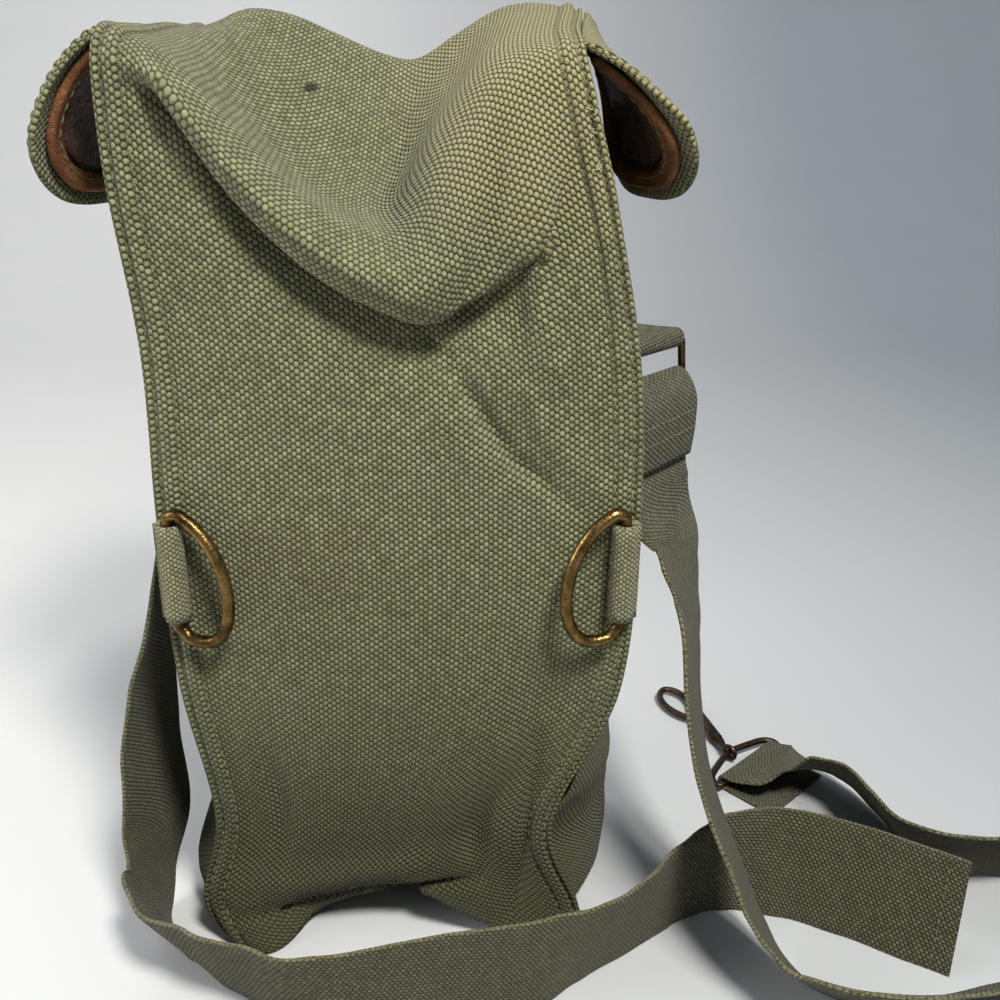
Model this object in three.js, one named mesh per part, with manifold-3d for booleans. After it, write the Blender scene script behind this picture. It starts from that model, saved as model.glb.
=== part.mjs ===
// Gas mask bag of coarse olive canvas, standing empty with its lid sagged, in millimetres, +Z up.
// The back panel faces -Y. The origin is the middle of the flat bottom, on the floor.
import * as THREE from 'three';
import { mergeVertices } from 'three/addons/utils/BufferGeometryUtils.js';
import Module from 'manifold-3d';

const wasm = await Module();
wasm.setup();

// Bag
const bag_width = 178;
const bag_depth = 100;
const bag_height = 352;
const canvas = 2.4;
const gap = 0.3;
const seam_flange = 7;
const bottom_radius = 18;
const bottom_lift_run = 30;
const trim_margin = 3;
const gusset_seam = 0.04;
const flap_length = 118;
const front_panel_top = 336;
const front_panel_foot = 1.5;
const gusset_top = 334;

// Sag of the lid over the back panel
const rim_reach = 10;
const crease_tuck = 4;
const panel_belly = 3;
const hem_tuck = 9;

// Ears on the lid's side edges, from and to as shares of the sheet's run
const ear_from = 0.6;
const ear_to = 0.815;
const ear_width = 90;
const ear_length = 66;
const ear_canvas = 2.4;
const leather = 2;
const leather_inset = 4;
const leather_clear = 1.5;
const band_width = 7;
const band_thickness = 3;

// Webbing
const strap_width = 48;
const webbing = 2;
const loop_height = 38;
const loop_ring_height = 178;
const floor_clear = 0.05;

// D-rings
const ring_wire = 4.8;
const ring_bar = 50;
const ring_reach = 21;
const ring_droop = 0.42;
const ring_lift = 6;
const ring_inset = 1;
const ring_across = 0.03;

// Slider on the right gusset
const slider_wire = 3.2;
const slider_width = 52;
const slider_height = 62;
const slider_middle = 16.5;
const slider_top = 250;
const slider_stand_off = 22;
const slider_yaw = THREE.MathUtils.degToRad(42);
const slider_bulge = 8;
const slider_corner = 3;
const slider_lean = 0.07;
const chape_narrower = 2;
const chape_tail = 5;

// Hook and its ring at the end of the right strap
const hook_ring_wire = 3.6;
const hook_ring_bar = 54;
const hook_ring_depth = 13;
const hook_ring_rise = 1.2;
const hook_wire = 3.8;
const hook_eye_wire = 2.6;
const hook_eye_clear = 0.4;
const hook_length = 72;
const hook_shank = 7;
const hook_loop_width = 15;

// Stud on the hidden flap
const stud_diameter = 13;
const stud_height = 4;

// Table rows from a list of column names and the numbers of each row
function namedRows(names, numbers) {
  return numbers.map((row) => Object.fromEntries(names.map((name, i) => [name, row[i]])));
}

// Side edges of the back panel: heights are shares of bag_height, sides are shares of bag_width.
const panel_edges = [
  { height: 0.0, left: -0.425, right: 0.425 },
  { height: 0.03, left: -0.475, right: 0.42 },
  { height: 0.065, left: -0.495, right: 0.39 },
  { height: 0.12, left: -0.475, right: 0.3 },
  { height: 0.16, left: -0.445, right: 0.33 },
  { height: 0.205, left: -0.472, right: 0.4 },
  { height: 0.28, left: -0.482, right: 0.447 },
  { height: 0.42, left: -0.496, right: 0.495 },
  { height: 0.58, left: -0.493, right: 0.501 },
  { height: 0.7, left: -0.482, right: 0.493 },
  { height: 0.8, left: -0.489, right: 0.468 },
  { height: 0.88, left: -0.505, right: 0.428 },
  { height: 0.96, left: -0.508, right: 0.388 },
  { height: 1.03, left: -0.498, right: 0.355 },
];

// Side edges of the lid and flap, from the near corner (0) over the far rim (1) to the flap's end (2).
const lid_edges = [
  { run: 0, left: -0.498, right: 0.355 },
  { run: 1, left: -0.478, right: 0.397 },
  { run: 2, left: -0.452, right: 0.44 },
];

// Sections of the one long sheet at shares of its width: heights are shares of bag_height.
// hem is the bottom edge, crease the fold under the sagged rim, nose the rim's foremost line, then the lid
// at its near shoulder, quarter, middle and far rim. fold and tuck say how strong the folds are there.
const sheet_sections = namedRows(
  ['across', 'hem', 'tuck', 'crease', 'fold',
   'nose', 'shoulder', 'quarter', 'middle', 'far'],
  [
    [0.0, 0.012, 0, 0.977, 0, 1.0, 1.024, 1.031, 1.034, 1.037],
    [0.08, 0.004, 0, 0.974, 0.1, 0.996, 1.014, 1.025, 1.034, 1.046],
    [0.16, 0.004, 0.3, 0.955, 0.5, 0.975, 0.993, 1.006, 1.022, 1.06],
    [0.26, 0.022, 0.9, 0.885, 0.9, 0.91, 0.938, 0.955, 0.985, 1.056],
    [0.38, 0.04, 1, 0.82, 1, 0.845, 0.875, 0.895, 0.935, 1.036],
    [0.5, 0.062, 0.5, 0.783, 1, 0.808, 0.843, 0.866, 0.91, 1.016],
    [0.58, 0.07, 0.1, 0.77, 1, 0.802, 0.85, 0.873, 0.914, 1.012],
    [0.68, 0.034, 0, 0.786, 0.8, 0.832, 0.91, 0.943, 0.968, 1.036],
    [0.8, 0.004, 0, 0.824, 0.45, 0.89, 0.972, 1.006, 1.028, 1.062],
    [0.9, 0.004, 0, 0.886, 0.12, 0.95, 1.0, 1.021, 1.04, 1.066],
    [1.0, 0.008, 0, 0.951, 0, 0.98, 1.009, 1.026, 1.04, 1.057],
  ],
);

// Dents (positive) and bulges of the back panel: places are shares of its width and of bag_height,
// spreads too, push is a share of bag_depth.
const panel_dents = [
  { name: 'left foot', across: 0.1, height: 0.0, wide: 0.09, tall: 0.07, push: -0.12 },
  { name: 'left valley', across: 0.13, height: 0.2, wide: 0.05, tall: 0.14, push: 0.035 },
  { name: 'right valley', across: 0.82, height: 0.2, wide: 0.07, tall: 0.13, push: 0.075 },
  { name: 'right foot', across: 0.86, height: 0.02, wide: 0.12, tall: 0.06, push: -0.03 },
  { name: 'ring valley', across: 0.78, height: 0.52, wide: 0.05, tall: 0.12, push: 0.02 },
  { name: 'slant fold', across: 0.76, height: 0.68, wide: 0.04, tall: 0.07, push: 0.025 },
];

// Gusset: how far the sides stand out at middle depth and half the bag's width at its front, as shares of
// bag_width at shares of bag_height.
const gusset_bulges = [
  { height: 0.0, left: 0.05, right: 0.02, front: 0.46 },
  { height: 0.06, left: 0.11, right: 0.08, front: 0.46 },
  { height: 0.13, left: 0.08, right: 0.13, front: 0.46 },
  { height: 0.25, left: 0.05, right: 0.06, front: 0.46 },
  { height: 0.5, left: 0.035, right: -0.015, front: 0.46 },
  { height: 0.75, left: 0.025, right: -0.04, front: 0.455 },
  { height: 0.96, left: 0.01, right: 0.01, front: 0.4 },
];

// Routes of the straps. x is a share of bag_width, y of bag_depth, foot the lower edge's height as a share
// of bag_height. ex, ey, ez point across the webbing to the edge that hangs nearest or stands uppermost.
const left_strap_route = [
  { x: -0.565, y: -0.19, foot: 0.4, ex: -0.02, ey: -1, ez: 0.08 },
  { x: -0.615, y: -0.19, foot: 0.31, ex: -0.06, ey: -0.98, ez: 0.18 },
  { x: -0.64, y: -0.21, foot: 0.2, ex: -0.16, ey: -0.92, ez: 0.35 },
  { x: -0.64, y: -0.26, foot: 0.09, ex: -0.28, ey: -0.82, ez: 0.5 },
  { x: -0.645, y: -0.38, foot: 0.03, ex: -0.1, ey: -0.8, ez: 0.6 },
  { x: -0.622, y: -0.53, foot: 0, ex: 0.04, ey: -0.73, ez: 0.69 },
  { x: -0.56, y: -0.7, foot: 0, ex: 0.14, ey: -0.64, ez: 0.75 },
  { x: -0.44, y: -0.85, foot: 0, ex: 0.18, ey: -0.48, ez: 0.86 },
  { x: -0.34, y: -0.94, foot: 0, ex: 0.11, ey: -0.4, ez: 0.91 },
  { x: -0.25, y: -1.04, foot: 0, ex: 0.06, ey: -0.22, ez: 0.97 },
  { x: -0.16, y: -1.07, foot: 0, ex: 0, ey: -0.06, ez: 1 },
  { x: 0.0, y: -1.02, foot: 0, ex: 0, ey: 0, ez: 1 },
  { x: 0.1, y: -0.975, foot: 0, ex: 0, ey: 0, ez: 1 },
  { x: 0.21, y: -0.935, foot: 0, ex: 0, ey: -0.03, ez: 1 },
  { x: 0.31, y: -0.88, foot: 0, ex: -0.03, ey: -0.1, ez: 1 },
  { x: 0.405, y: -0.79, foot: 0, ex: -0.06, ey: -0.28, ez: 0.95 },
  { x: 0.483, y: -0.7, foot: 0, ex: -0.14, ey: -0.38, ez: 0.9 },
  { x: 0.56, y: -0.59, foot: 0, ex: -0.15, ey: -0.36, ez: 0.9 },
  { x: 0.637, y: -0.46, foot: 0, ex: -0.1, ey: -0.2, ez: 0.97 },
  { x: 0.713, y: -0.365, foot: 0, ex: 0, ey: 0, ez: 1 },
  { x: 0.787, y: -0.305, foot: 0, ex: 0, ey: 0.16, ez: 0.99 },
  { x: 0.93, y: -0.29, foot: 0, ex: 0.05, ey: 0.42, ez: 0.9 },
  { x: 1.073, y: -0.37, foot: 0, ex: 0.15, ey: 0.54, ez: 0.83 },
  { x: 1.19, y: -0.49, foot: 0, ex: 0.24, ey: 0.52, ez: 0.82 },
  { x: 1.295, y: -0.625, foot: 0, ex: 0.22, ey: 0.42, ez: 0.88 },
];
const right_strap_route = [
  { x: 0.628, y: -0.015, foot: 0.466, ex: -0.55, ey: -0.8, ez: 0.25 },
  { x: 0.64, y: -0.06, foot: 0.427, ex: -0.48, ey: -0.82, ez: 0.36 },
  { x: 0.655, y: -0.13, foot: 0.383, ex: -0.37, ey: -0.84, ez: 0.4 },
  { x: 0.662, y: -0.22, foot: 0.337, ex: -0.3, ey: -0.83, ez: 0.46 },
  { x: 0.668, y: -0.3, foot: 0.267, ex: -0.29, ey: -0.81, ez: 0.51 },
  { x: 0.69, y: -0.4, foot: 0.187, ex: -0.29, ey: -0.79, ez: 0.54 },
  { x: 0.715, y: -0.49, foot: 0.15, ex: -0.28, ey: -0.84, ez: 0.47 },
  { x: 0.752, y: -0.6, foot: 0.105, ex: -0.28, ey: -0.82, ez: 0.5 },
  { x: 0.79, y: -0.7, foot: 0.05, ex: -0.33, ey: -0.7, ez: 0.63 },
  { x: 0.835, y: -0.81, foot: 0.01, ex: -0.39, ey: -0.53, ez: 0.75 },
  { x: 0.88, y: -0.905, foot: 0, ex: -0.43, ey: -0.53, ez: 0.73 },
  { x: 0.965, y: -0.985, foot: 0, ex: -0.29, ey: -0.6, ez: 0.75 },
  { x: 1.075, y: -1.02, foot: 0, ex: -0.04, ey: -0.64, ez: 0.77 },
  { x: 1.21, y: -0.995, foot: 0, ex: 0.13, ey: -0.64, ez: 0.77 },
  { x: 1.34, y: -0.94, foot: 0, ex: 0.13, ey: -0.64, ez: 0.77 },
  { x: 1.475, y: -0.87, foot: 0, ex: 0.15, ey: -0.6, ez: 0.79 },
  { x: 1.62, y: -0.76, foot: 0, ex: 0.22, ey: -0.4, ez: 0.87 },
  { x: 1.7, y: -0.55, foot: 0, ex: 0.15, ey: -0.05, ez: 0.98 },
  { x: 1.67, y: -0.35, foot: 0, ex: -0.02, ey: -0.15, ez: 0.98 },
  { x: 1.59, y: -0.25, foot: 0, ex: -0.15, ey: -0.38, ez: 0.9 },
  { x: 1.49, y: -0.245, foot: 0, ex: -0.34, ey: -0.5, ez: 0.8 },
  { x: 1.42, y: -0.25, foot: 0, ex: -0.33, ey: -0.45, ez: 0.84 },
  { x: 1.35, y: -0.22, foot: 0, ex: -0.38, ey: -0.4, ez: 0.84 },
  { x: 1.285, y: -0.12, foot: 0, ex: -0.49, ey: -0.33, ez: 0.83 },
  { x: 1.258, y: 0.05, foot: 0, ex: -0.52, ey: -0.25, ez: 0.82 },
  { x: 1.23, y: 0.25, foot: 0.002, ex: -0.5, ey: -0.35, ez: 0.8 },
  { x: 1.175, y: 0.4, foot: 0.01, ex: -0.53, ey: -0.52, ez: 0.68 },
  { x: 1.105, y: 0.5, foot: 0.017, ex: -0.64, ey: -0.6, ez: 0.36 },
];
// Middle of the hook ring's bar, as shares of bag_width and bag_depth, and the way it runs on the floor.
const hook_ring_place = { x: 0.978, y: 0.68 };
const hook_ring_heading = THREE.MathUtils.degToRad(43);
const hook_heading = THREE.MathUtils.degToRad(104);
const strap_return = 30;

// Fineness of the faceted surfaces
const sheet_columns = 20;
const sheet_steps = [1, 2, 3, 3, 2, 2, 1, 2, 2, 1, 2, 2, 2, 2, 1, 1, 1];
const route_steps = 2;
const wire_sides = 8;
const eye_sides = 12;

const vec = (x, y, z) => new THREE.Vector3(x, y, z);
const lerp = THREE.MathUtils.lerp;
const clamp01 = (value) => THREE.MathUtils.clamp(value, 0, 1);
const bell = (value) => Math.exp(-value * value);

// Smooth curve through one column of a table, by its key column
function readTable(rows, key, at, column) {
  const last = rows.length - 1;
  const place = THREE.MathUtils.clamp(at, rows[0][key], rows[last][key]);
  let i = 0;
  while (i < last - 1 && place > rows[i + 1][key]) i += 1;
  const slope = (k) => {
    const before = rows[Math.max(k - 1, 0)];
    const after = rows[Math.min(k + 1, last)];
    return (after[column] - before[column]) / (after[key] - before[key]);
  };
  const span = rows[i + 1][key] - rows[i][key];
  const t = (place - rows[i][key]) / span;
  const a = rows[i][column];
  const b = rows[i + 1][column];
  const ease = t * t * (3 - 2 * t);
  const bendA = t * (1 - t) * (1 - t) * span * slope(i);
  const bendB = t * t * (1 - t) * span * slope(i + 1);
  return a + (b - a) * ease + bendA - bendB;
}

function geometryFrom(points, faces) {
  const positions = new Float32Array(points.flatMap((p) => [p.x, p.y, p.z]));
  const [ox, oy, oz] = positions;
  let volume = 0;
  for (const [a, b, c] of faces) {
    const [p, q, r] = [points[a], points[b], points[c]].map((v) => vec(v.x - ox, v.y - oy, v.z - oz));
    volume += p.dot(q.cross(r));
  }
  const outward = volume > 0 ? faces : faces.map(([a, b, c]) => [a, c, b]);
  const geometry = new THREE.BufferGeometry();
  geometry.setAttribute('position', new THREE.BufferAttribute(positions, 3));
  geometry.setIndex(outward.flat());
  geometry.computeVertexNormals();
  return geometry;
}

// Closed body between two loops of points per station: sides of the outer loops, and either flat ends or,
// with inner loops, a hole that runs through
function loftBody(outer, inner = null, closed = false) {
  const sides = outer[0].length;
  const points = outer.flat();
  const faces = [];
  const joinLoops = (base, stations, flip) => {
    const spans = closed ? stations : stations - 1;
    for (let s = 0; s < spans; s += 1) {
      const next = (s + 1) % stations;
      for (let k = 0; k < sides; k += 1) {
        const a = base + s * sides + k;
        const b = base + s * sides + ((k + 1) % sides);
        const c = base + next * sides + ((k + 1) % sides);
        const d = base + next * sides + k;
        if (flip) faces.push([a, c, b], [a, d, c]);
        else faces.push([a, b, c], [a, c, d]);
      }
    }
  };
  joinLoops(0, outer.length, false);
  if (closed) return geometryFrom(points, faces);
  const end = (outer.length - 1) * sides;
  if (inner) {
    const hole = points.length;
    points.push(...inner.flat());
    joinLoops(hole, inner.length, true);
    for (let k = 0; k < sides; k += 1) {
      const n = (k + 1) % sides;
      faces.push([k, hole + k, hole + n], [k, hole + n, n]);
      faces.push([end + k, end + n, hole + end + n], [end + k, hole + end + n, hole + end + k]);
    }
  } else {
    for (let k = 1; k < sides - 1; k += 1) {
      faces.push([0, k + 1, k]);
      faces.push([end, end + k, end + k + 1]);
    }
  }
  return geometryFrom(points, faces);
}

// Grid of points moved along its surface normals
function offsetGrid(grid, distance) {
  const rows = grid.length;
  const columns = grid[0].length;
  return grid.map((row, r) => row.map((point, c) => {
    const across = row[Math.min(c + 1, columns - 1)].clone().sub(row[Math.max(c - 1, 0)]);
    const along = grid[Math.min(r + 1, rows - 1)][c].clone().sub(grid[Math.max(r - 1, 0)][c]);
    return point.clone().addScaledVector(across.cross(along).normalize(), distance);
  }));
}

// Closed shell of even thickness on one side of a surface given as a grid of points
function shellBody(grid, thickness, inward) {
  const rows = grid.length;
  const columns = grid[0].length;
  const flat = grid.flat();
  const inner = offsetGrid(grid, inward * thickness).flat();
  const points = [...flat, ...inner];
  const deep = flat.length;
  const faces = [];
  const quad = (a, b, c, d) => faces.push([a, b, c], [a, c, d]);
  for (let r = 0; r < rows - 1; r += 1) {
    for (let c = 0; c < columns - 1; c += 1) {
      const a = r * columns + c;
      quad(a, a + 1, a + columns + 1, a + columns);
      quad(deep + a, deep + a + columns, deep + a + columns + 1, deep + a + 1);
    }
  }
  const rim = [];
  for (let c = 0; c < columns - 1; c += 1) rim.push(c);
  for (let r = 0; r < rows - 1; r += 1) rim.push(r * columns + columns - 1);
  for (let c = columns - 1; c > 0; c -= 1) rim.push((rows - 1) * columns + c);
  for (let r = rows - 1; r > 0; r -= 1) rim.push(r * columns);
  rim.forEach((a, i) => {
    const b = rim[(i + 1) % rim.length];
    quad(b, a, deep + a, deep + b);
  });
  return geometryFrom(points, faces);
}

// Round wire along a list of points, with a frame carried from point to point
function wireBody(path, radius, closed, sides = wire_sides) {
  const count = path.length;
  const radiusAt = typeof radius === 'function' ? radius : () => radius;
  const tangents = path.map((p, i) => {
    const before = closed ? path[(i + count - 1) % count] : path[Math.max(i - 1, 0)];
    const after = closed ? path[(i + 1) % count] : path[Math.min(i + 1, count - 1)];
    return after.clone().sub(before).normalize();
  });
  const plane = new THREE.Vector3();
  path.forEach((p, i) => {
    const next = path[(i + 1) % count].clone().sub(path[0]);
    plane.add(p.clone().sub(path[0]).cross(next));
  });
  const steady = plane.length() > 1e-3 ? plane.normalize() : vec(0, 0, 1);
  const loops = path.map((p, i) => {
    const side = steady.clone().addScaledVector(tangents[i], -steady.dot(tangents[i])).normalize();
    const up = tangents[i].clone().cross(side);
    return Array.from({ length: sides }, (_, k) => {
      const turn = ((k + 0.5) / sides) * 2 * Math.PI;
      const reach = radiusAt(i / (count - 1));
      const offset = side.clone().multiplyScalar(Math.cos(turn)).addScaledVector(up, Math.sin(turn));
      return p.clone().addScaledVector(offset, reach);
    });
  });
  return loftBody(loops, null, closed);
}

function solidFrom(geometry) {
  const bare = geometry.clone();
  bare.deleteAttribute('normal');
  bare.deleteAttribute('uv');
  const merged = mergeVertices(bare, 1e-3);
  return new wasm.Manifold(new wasm.Mesh({
    numProp: 3,
    vertProperties: new Float32Array(merged.attributes.position.array),
    triVerts: new Uint32Array(merged.index.array),
  }));
}

function geometryOf(solid) {
  const mesh = solid.getMesh();
  const geometry = new THREE.BufferGeometry();
  geometry.setAttribute('position', new THREE.BufferAttribute(new Float32Array(mesh.vertProperties), 3));
  geometry.setIndex(Array.from(mesh.triVerts));
  geometry.computeVertexNormals();
  return geometry;
}

// Join closed bodies that overlap into one
function fuse(bodies) {
  const solids = bodies.map(solidFrom);
  return geometryOf(solids.slice(1).reduce((sum, solid) => sum.add(solid), solids[0]));
}

// Cut bodies away from a body and keep its largest part
function cutAway(body, cutters) {
  const left = cutters.map(solidFrom).reduce((rest, cutter) => rest.subtract(cutter), solidFrom(body));
  const parts = left.decompose().sort((a, b) => b.volume() - a.volume());
  return geometryOf(parts[0]);
}

// Back panel, lid and flap: one sheet

const panelEdge = (side, z) => bag_width * readTable(panel_edges, 'height', z / bag_height, side);
const lidEdge = (side, run) => bag_width * readTable(lid_edges, 'run', run, side);
const section = (across, column) => readTable(sheet_sections, 'across', across, column);
const hemHeight = (across) => Math.max(bag_height * section(across, 'hem'), 2 * gap);

function panelY(across, z) {
  const height = z / bag_height;
  const belly = Math.sin(Math.PI * clamp01(height / 0.8)) * Math.sin(Math.PI * across);
  let y = -bag_depth / 2 - panel_belly * belly;
  for (const dent of panel_dents) {
    const spread = bell((across - dent.across) / dent.wide) * bell((height - dent.height) / dent.tall);
    y += dent.push * bag_depth * spread;
  }
  const lip = section(across, 'tuck') * bell((z - hemHeight(across)) / (hem_tuck * 1.1));
  return y + hem_tuck * lip;
}

// Outline of the sheet at one share of its width, from the hem up, over the lid and down the front
function sheetProfile(across) {
  const high = (column) => bag_height * section(across, column);
  const fold = clamp01(section(across, 'fold'));
  const hem = hemHeight(across);
  const crease = high('crease');
  const belowCrease = crease - 0.08 * bag_height;
  const near = -bag_depth / 2;
  const onPanel = (z) => {
    const x = lerp(panelEdge('left', z), panelEdge('right', z), across);
    return vec(x, panelY(across, z), z);
  };
  const onRim = (y, z) => {
    const x = lerp(panelEdge('left', z), panelEdge('right', z), across);
    return vec(x, y, z);
  };
  const onLid = (run, y, z) => vec(lerp(lidEdge('left', run), lidEdge('right', run), across), y, z);
  const profile = [0, 0.06, 0.18, 0.4, 0.62, 0.82, 1].map((t) => onPanel(lerp(hem, belowCrease, t)));
  const far = high('far');
  const flapLow = Math.min(far, bag_height) - flap_length;
  profile.push(
    onRim(near + crease_tuck * fold, crease),
    onRim(near - 0.55 * rim_reach * fold, crease + lerp(0.012, 0.004, fold) * bag_height),
    onRim(near - rim_reach * fold, high('nose')),
    onRim(near + 0.05 * bag_depth * (1 - fold), high('shoulder')),
    onLid(0.22, -0.24 * bag_depth, high('quarter')),
    onLid(0.5, 0, high('middle')),
    onLid(0.76, 0.25 * bag_depth, lerp(high('middle'), far, 0.56)),
    onLid(0.95, 0.45 * bag_depth, far),
    onLid(1.08, 0.5 * bag_depth + canvas + gap, far - 3.2 * canvas),
    onLid(1.3, 0.5 * bag_depth + canvas + gap, far - 0.25 * flap_length),
    onLid(2, 0.5 * bag_depth + canvas + gap, flapLow),
  );
  return profile;
}

function sheetGrid(columns, steps) {
  const stations = Array.from({ length: columns + 1 }, (_, i) => {
    const profile = sheetProfile(i / columns);
    const curve = new THREE.CatmullRomCurve3(profile, false, 'centripetal');
    const spans = profile.length - 1;
    const points = [curve.getPoint(0)];
    steps.forEach((count, span) => {
      for (let k = 1; k <= count; k += 1) points.push(curve.getPoint((span + k / count) / spans));
    });
    return points;
  });
  return stations[0].map((_, r) => stations.map((points) => points[r]));
}

const backPanelLid = () => shellBody(sheetGrid(sheet_columns, sheet_steps), canvas, -1);

// The sheet with room all round it, to cut other pieces clear of it
function sheetTrim() {
  const grid = offsetGrid(sheetGrid(sheet_columns, sheet_steps), trim_margin);
  const last = sheet_columns;
  for (const row of grid) {
    row[0].addScaledVector(row[0].clone().sub(row[1]).normalize(), 2 * gap);
    row[last].addScaledVector(row[last].clone().sub(row[last - 1]).normalize(), 2 * gap);
  }
  return shellBody(grid, canvas + 1.5 * gap + trim_margin, -1);
}

// Gusset: sides and bottom

const gusset_far = bag_depth / 2 - canvas - 2 * gap;
const seam_rise = seam_flange - 1;

const seamAcross = (side) => (side === 'left' ? gusset_seam : 1 - gusset_seam);
const gussetRow = (column, z) => bag_width * readTable(gusset_bulges, 'height', z / bag_height, column);

// Outline of the gusset where it meets the back panel and, farther back, the front panel
function gussetOutline(sideSteps, cornerSteps, bottomSteps) {
  const outline = [];
  const wall = (side, z) => {
    const sign = side === 'left' ? -1 : 1;
    const across = seamAcross(side);
    outline.push({
      side, z, farZ: z, across,
      nearX: panelEdge(side, z) - sign * seam_flange,
      farX: sign * gussetRow('front', z),
      bulge: sign * gussetRow(side, z),
    });
  };
  const corner = (side, turn) => {
    const sign = side === 'left' ? -1 : 1;
    const inset = bottom_radius * (1 - Math.cos(turn));
    const drop = Math.sin(turn);
    const wallX = panelEdge(side, bottom_radius) - sign * seam_flange;
    const nearX = wallX - sign * inset;
    const across = seamAcross(side) - sign * inset / bag_width;
    const seam = hemHeight(across) + seam_rise;
    outline.push({
      side, across, nearX,
      z: lerp(bottom_radius, seam, drop),
      farZ: bottom_radius * (1 - drop),
      farX: sign * (gussetRow('front', bottom_radius) - inset),
      bulge: sign * gussetRow(side, bottom_radius) * Math.cos(turn),
    });
  };
  for (let i = 0; i < sideSteps; i += 1) wall('left', lerp(gusset_top, bottom_radius, i / sideSteps));
  for (let i = 0; i <= cornerSteps; i += 1) corner('left', (i / cornerSteps) * Math.PI / 2);
  const from = outline[outline.length - 1];
  const rightWall = panelEdge('right', bottom_radius) - seam_flange - bottom_radius;
  for (let i = 1; i < bottomSteps; i += 1) {
    const t = i / bottomSteps;
    const across = lerp(from.across, seamAcross('right') - bottom_radius / bag_width, t);
    outline.push({
      side: 'bottom', across, bulge: 0, farZ: 0,
      z: hemHeight(across) + seam_rise,
      nearX: lerp(from.nearX, rightWall, t),
      farX: lerp(from.farX, -from.farX, t),
    });
  }
  for (let i = cornerSteps; i >= 0; i -= 1) corner('right', (i / cornerSteps) * Math.PI / 2);
  for (let i = sideSteps - 1; i >= 0; i -= 1) wall('right', lerp(gusset_top, bottom_radius, i / sideSteps));
  return outline;
}

function gussetPoint(place, depth) {
  const nearY = panelY(place.across, place.z) + canvas / 2;
  const y = lerp(nearY, gusset_far, depth);
  const x = lerp(place.nearX, place.farX, depth) + place.bulge * Math.sin(Math.PI * depth ** 0.8);
  const settled = clamp01((y - nearY) / bottom_lift_run);
  const z = place.farZ + (place.z - place.farZ) * (1 - settled * settled);
  return vec(x, y, z);
}

function gusset() {
  const depths = [0, 0.1, 0.22, 0.34, 0.5, 0.7, 0.87, 1];
  const outline = gussetOutline(9, 3, 8);
  const grid = outline.map((place) => depths.map((depth) => gussetPoint(place, depth)));
  const front = new THREE.BoxGeometry(2 * bag_width, bag_depth, 3 * bag_height);
  front.translate(0, bag_depth - canvas - 2 * gap, 0);
  const floor = new THREE.BoxGeometry(2 * bag_width, 3 * bag_depth, bag_depth);
  floor.translate(0, 0, -bag_depth / 2);
  return cutAway(shellBody(grid, canvas, -1), [sheetTrim(), front, floor]);
}

// X of a gusset side at a height and depth, for what is sewn on it
function gussetSide(side, z, y) {
  const sign = side === 'left' ? -1 : 1;
  const place = {
    across: seamAcross(side),
    z,
    farZ: z,
    nearX: panelEdge(side, z) - sign * seam_flange,
    farX: sign * gussetRow('front', z),
    bulge: sign * gussetRow(side, z),
  };
  const nearY = panelY(place.across, z) + canvas / 2;
  return gussetPoint(place, clamp01((y - nearY) / (gusset_far - nearY))).x;
}

function frontPanel() {
  const grid = [];
  const rows = 10;
  const columns = 6;
  for (let r = 0; r <= rows; r += 1) {
    const z = lerp(front_panel_foot, front_panel_top, r / rows);
    const half = gussetRow('front', z) + seam_rise;
    const row = [];
    for (let c = 0; c <= columns; c += 1) {
      const u = c / columns;
      const narrow = 1 - 0.1 * bell(z / bottom_radius) * Math.abs(2 * u - 1);
      row.push(vec(lerp(-half, half, u) * narrow, bag_depth / 2 - gap, z));
    }
    grid.push(row);
  }
  return shellBody(grid, canvas, 1);
}

// Ears

const lidEdgeCurve = (across) => new THREE.CatmullRomCurve3(sheetProfile(across), false, 'centripetal');
const ears = {
  left: { sign: -1, edge: lidEdgeCurve(0), startNear: 30, startFar: 42, endNear: 98, endFar: 104 },
  right: { sign: 1, edge: lidEdgeCurve(1), startNear: 24, startFar: 60, endNear: 60, endFar: 104 },
};

// Point of an ear: a runs along the lid's edge, b outward from it, lift away from the bag
function earPoint(ear, a, b, lift) {
  const t = a / ear_width + 0.5;
  const root = ear.edge.getPoint(lerp(ear_from, ear_to, clamp01(t)));
  const start = THREE.MathUtils.degToRad(lerp(ear.startNear, ear.startFar, t));
  const end = THREE.MathUtils.degToRad(lerp(ear.endNear, ear.endFar, Math.sqrt(clamp01(t))));
  const bend = (end - start) / ear_length;
  const angle = start + bend * b;
  const out = (Math.sin(angle) - Math.sin(start)) / bend + lift * Math.sin(angle);
  const down = (Math.cos(start) - Math.cos(angle)) / bend - lift * Math.cos(angle);
  const clear = 3 * gap + 0.5 * ear_canvas * Math.sin(start);
  return vec(root.x + ear.sign * (clear + out), root.y, root.z - 0.5 * canvas - down);
}

// Length of an ear at a place along the lid's edge: straight sides, then a round end
function earReach(a, halfWidth, length) {
  const share = clamp01(Math.abs(a) / halfWidth);
  return length * (0.6 + 0.4 * Math.sqrt(1 - share ** 3));
}

function earSheet(ear, halfWidth, length, start, thickness, lift) {
  const grid = [];
  const columns = 12;
  const rows = 7;
  for (let r = 0; r <= rows; r += 1) {
    const row = [];
    for (let c = 0; c <= columns; c += 1) {
      const a = halfWidth * Math.sin(Math.PI * (c / columns - 0.5));
      const b = lerp(start, earReach(a, halfWidth, length), r / rows);
      row.push(earPoint(ear, a, b, lift));
    }
    grid.push(row);
  }
  return shellBody(grid, thickness, ear.sign);
}

const earCanvas = (ear) => earSheet(ear, ear_width / 2, ear_length, 0, ear_canvas, ear_canvas / 2);

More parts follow.
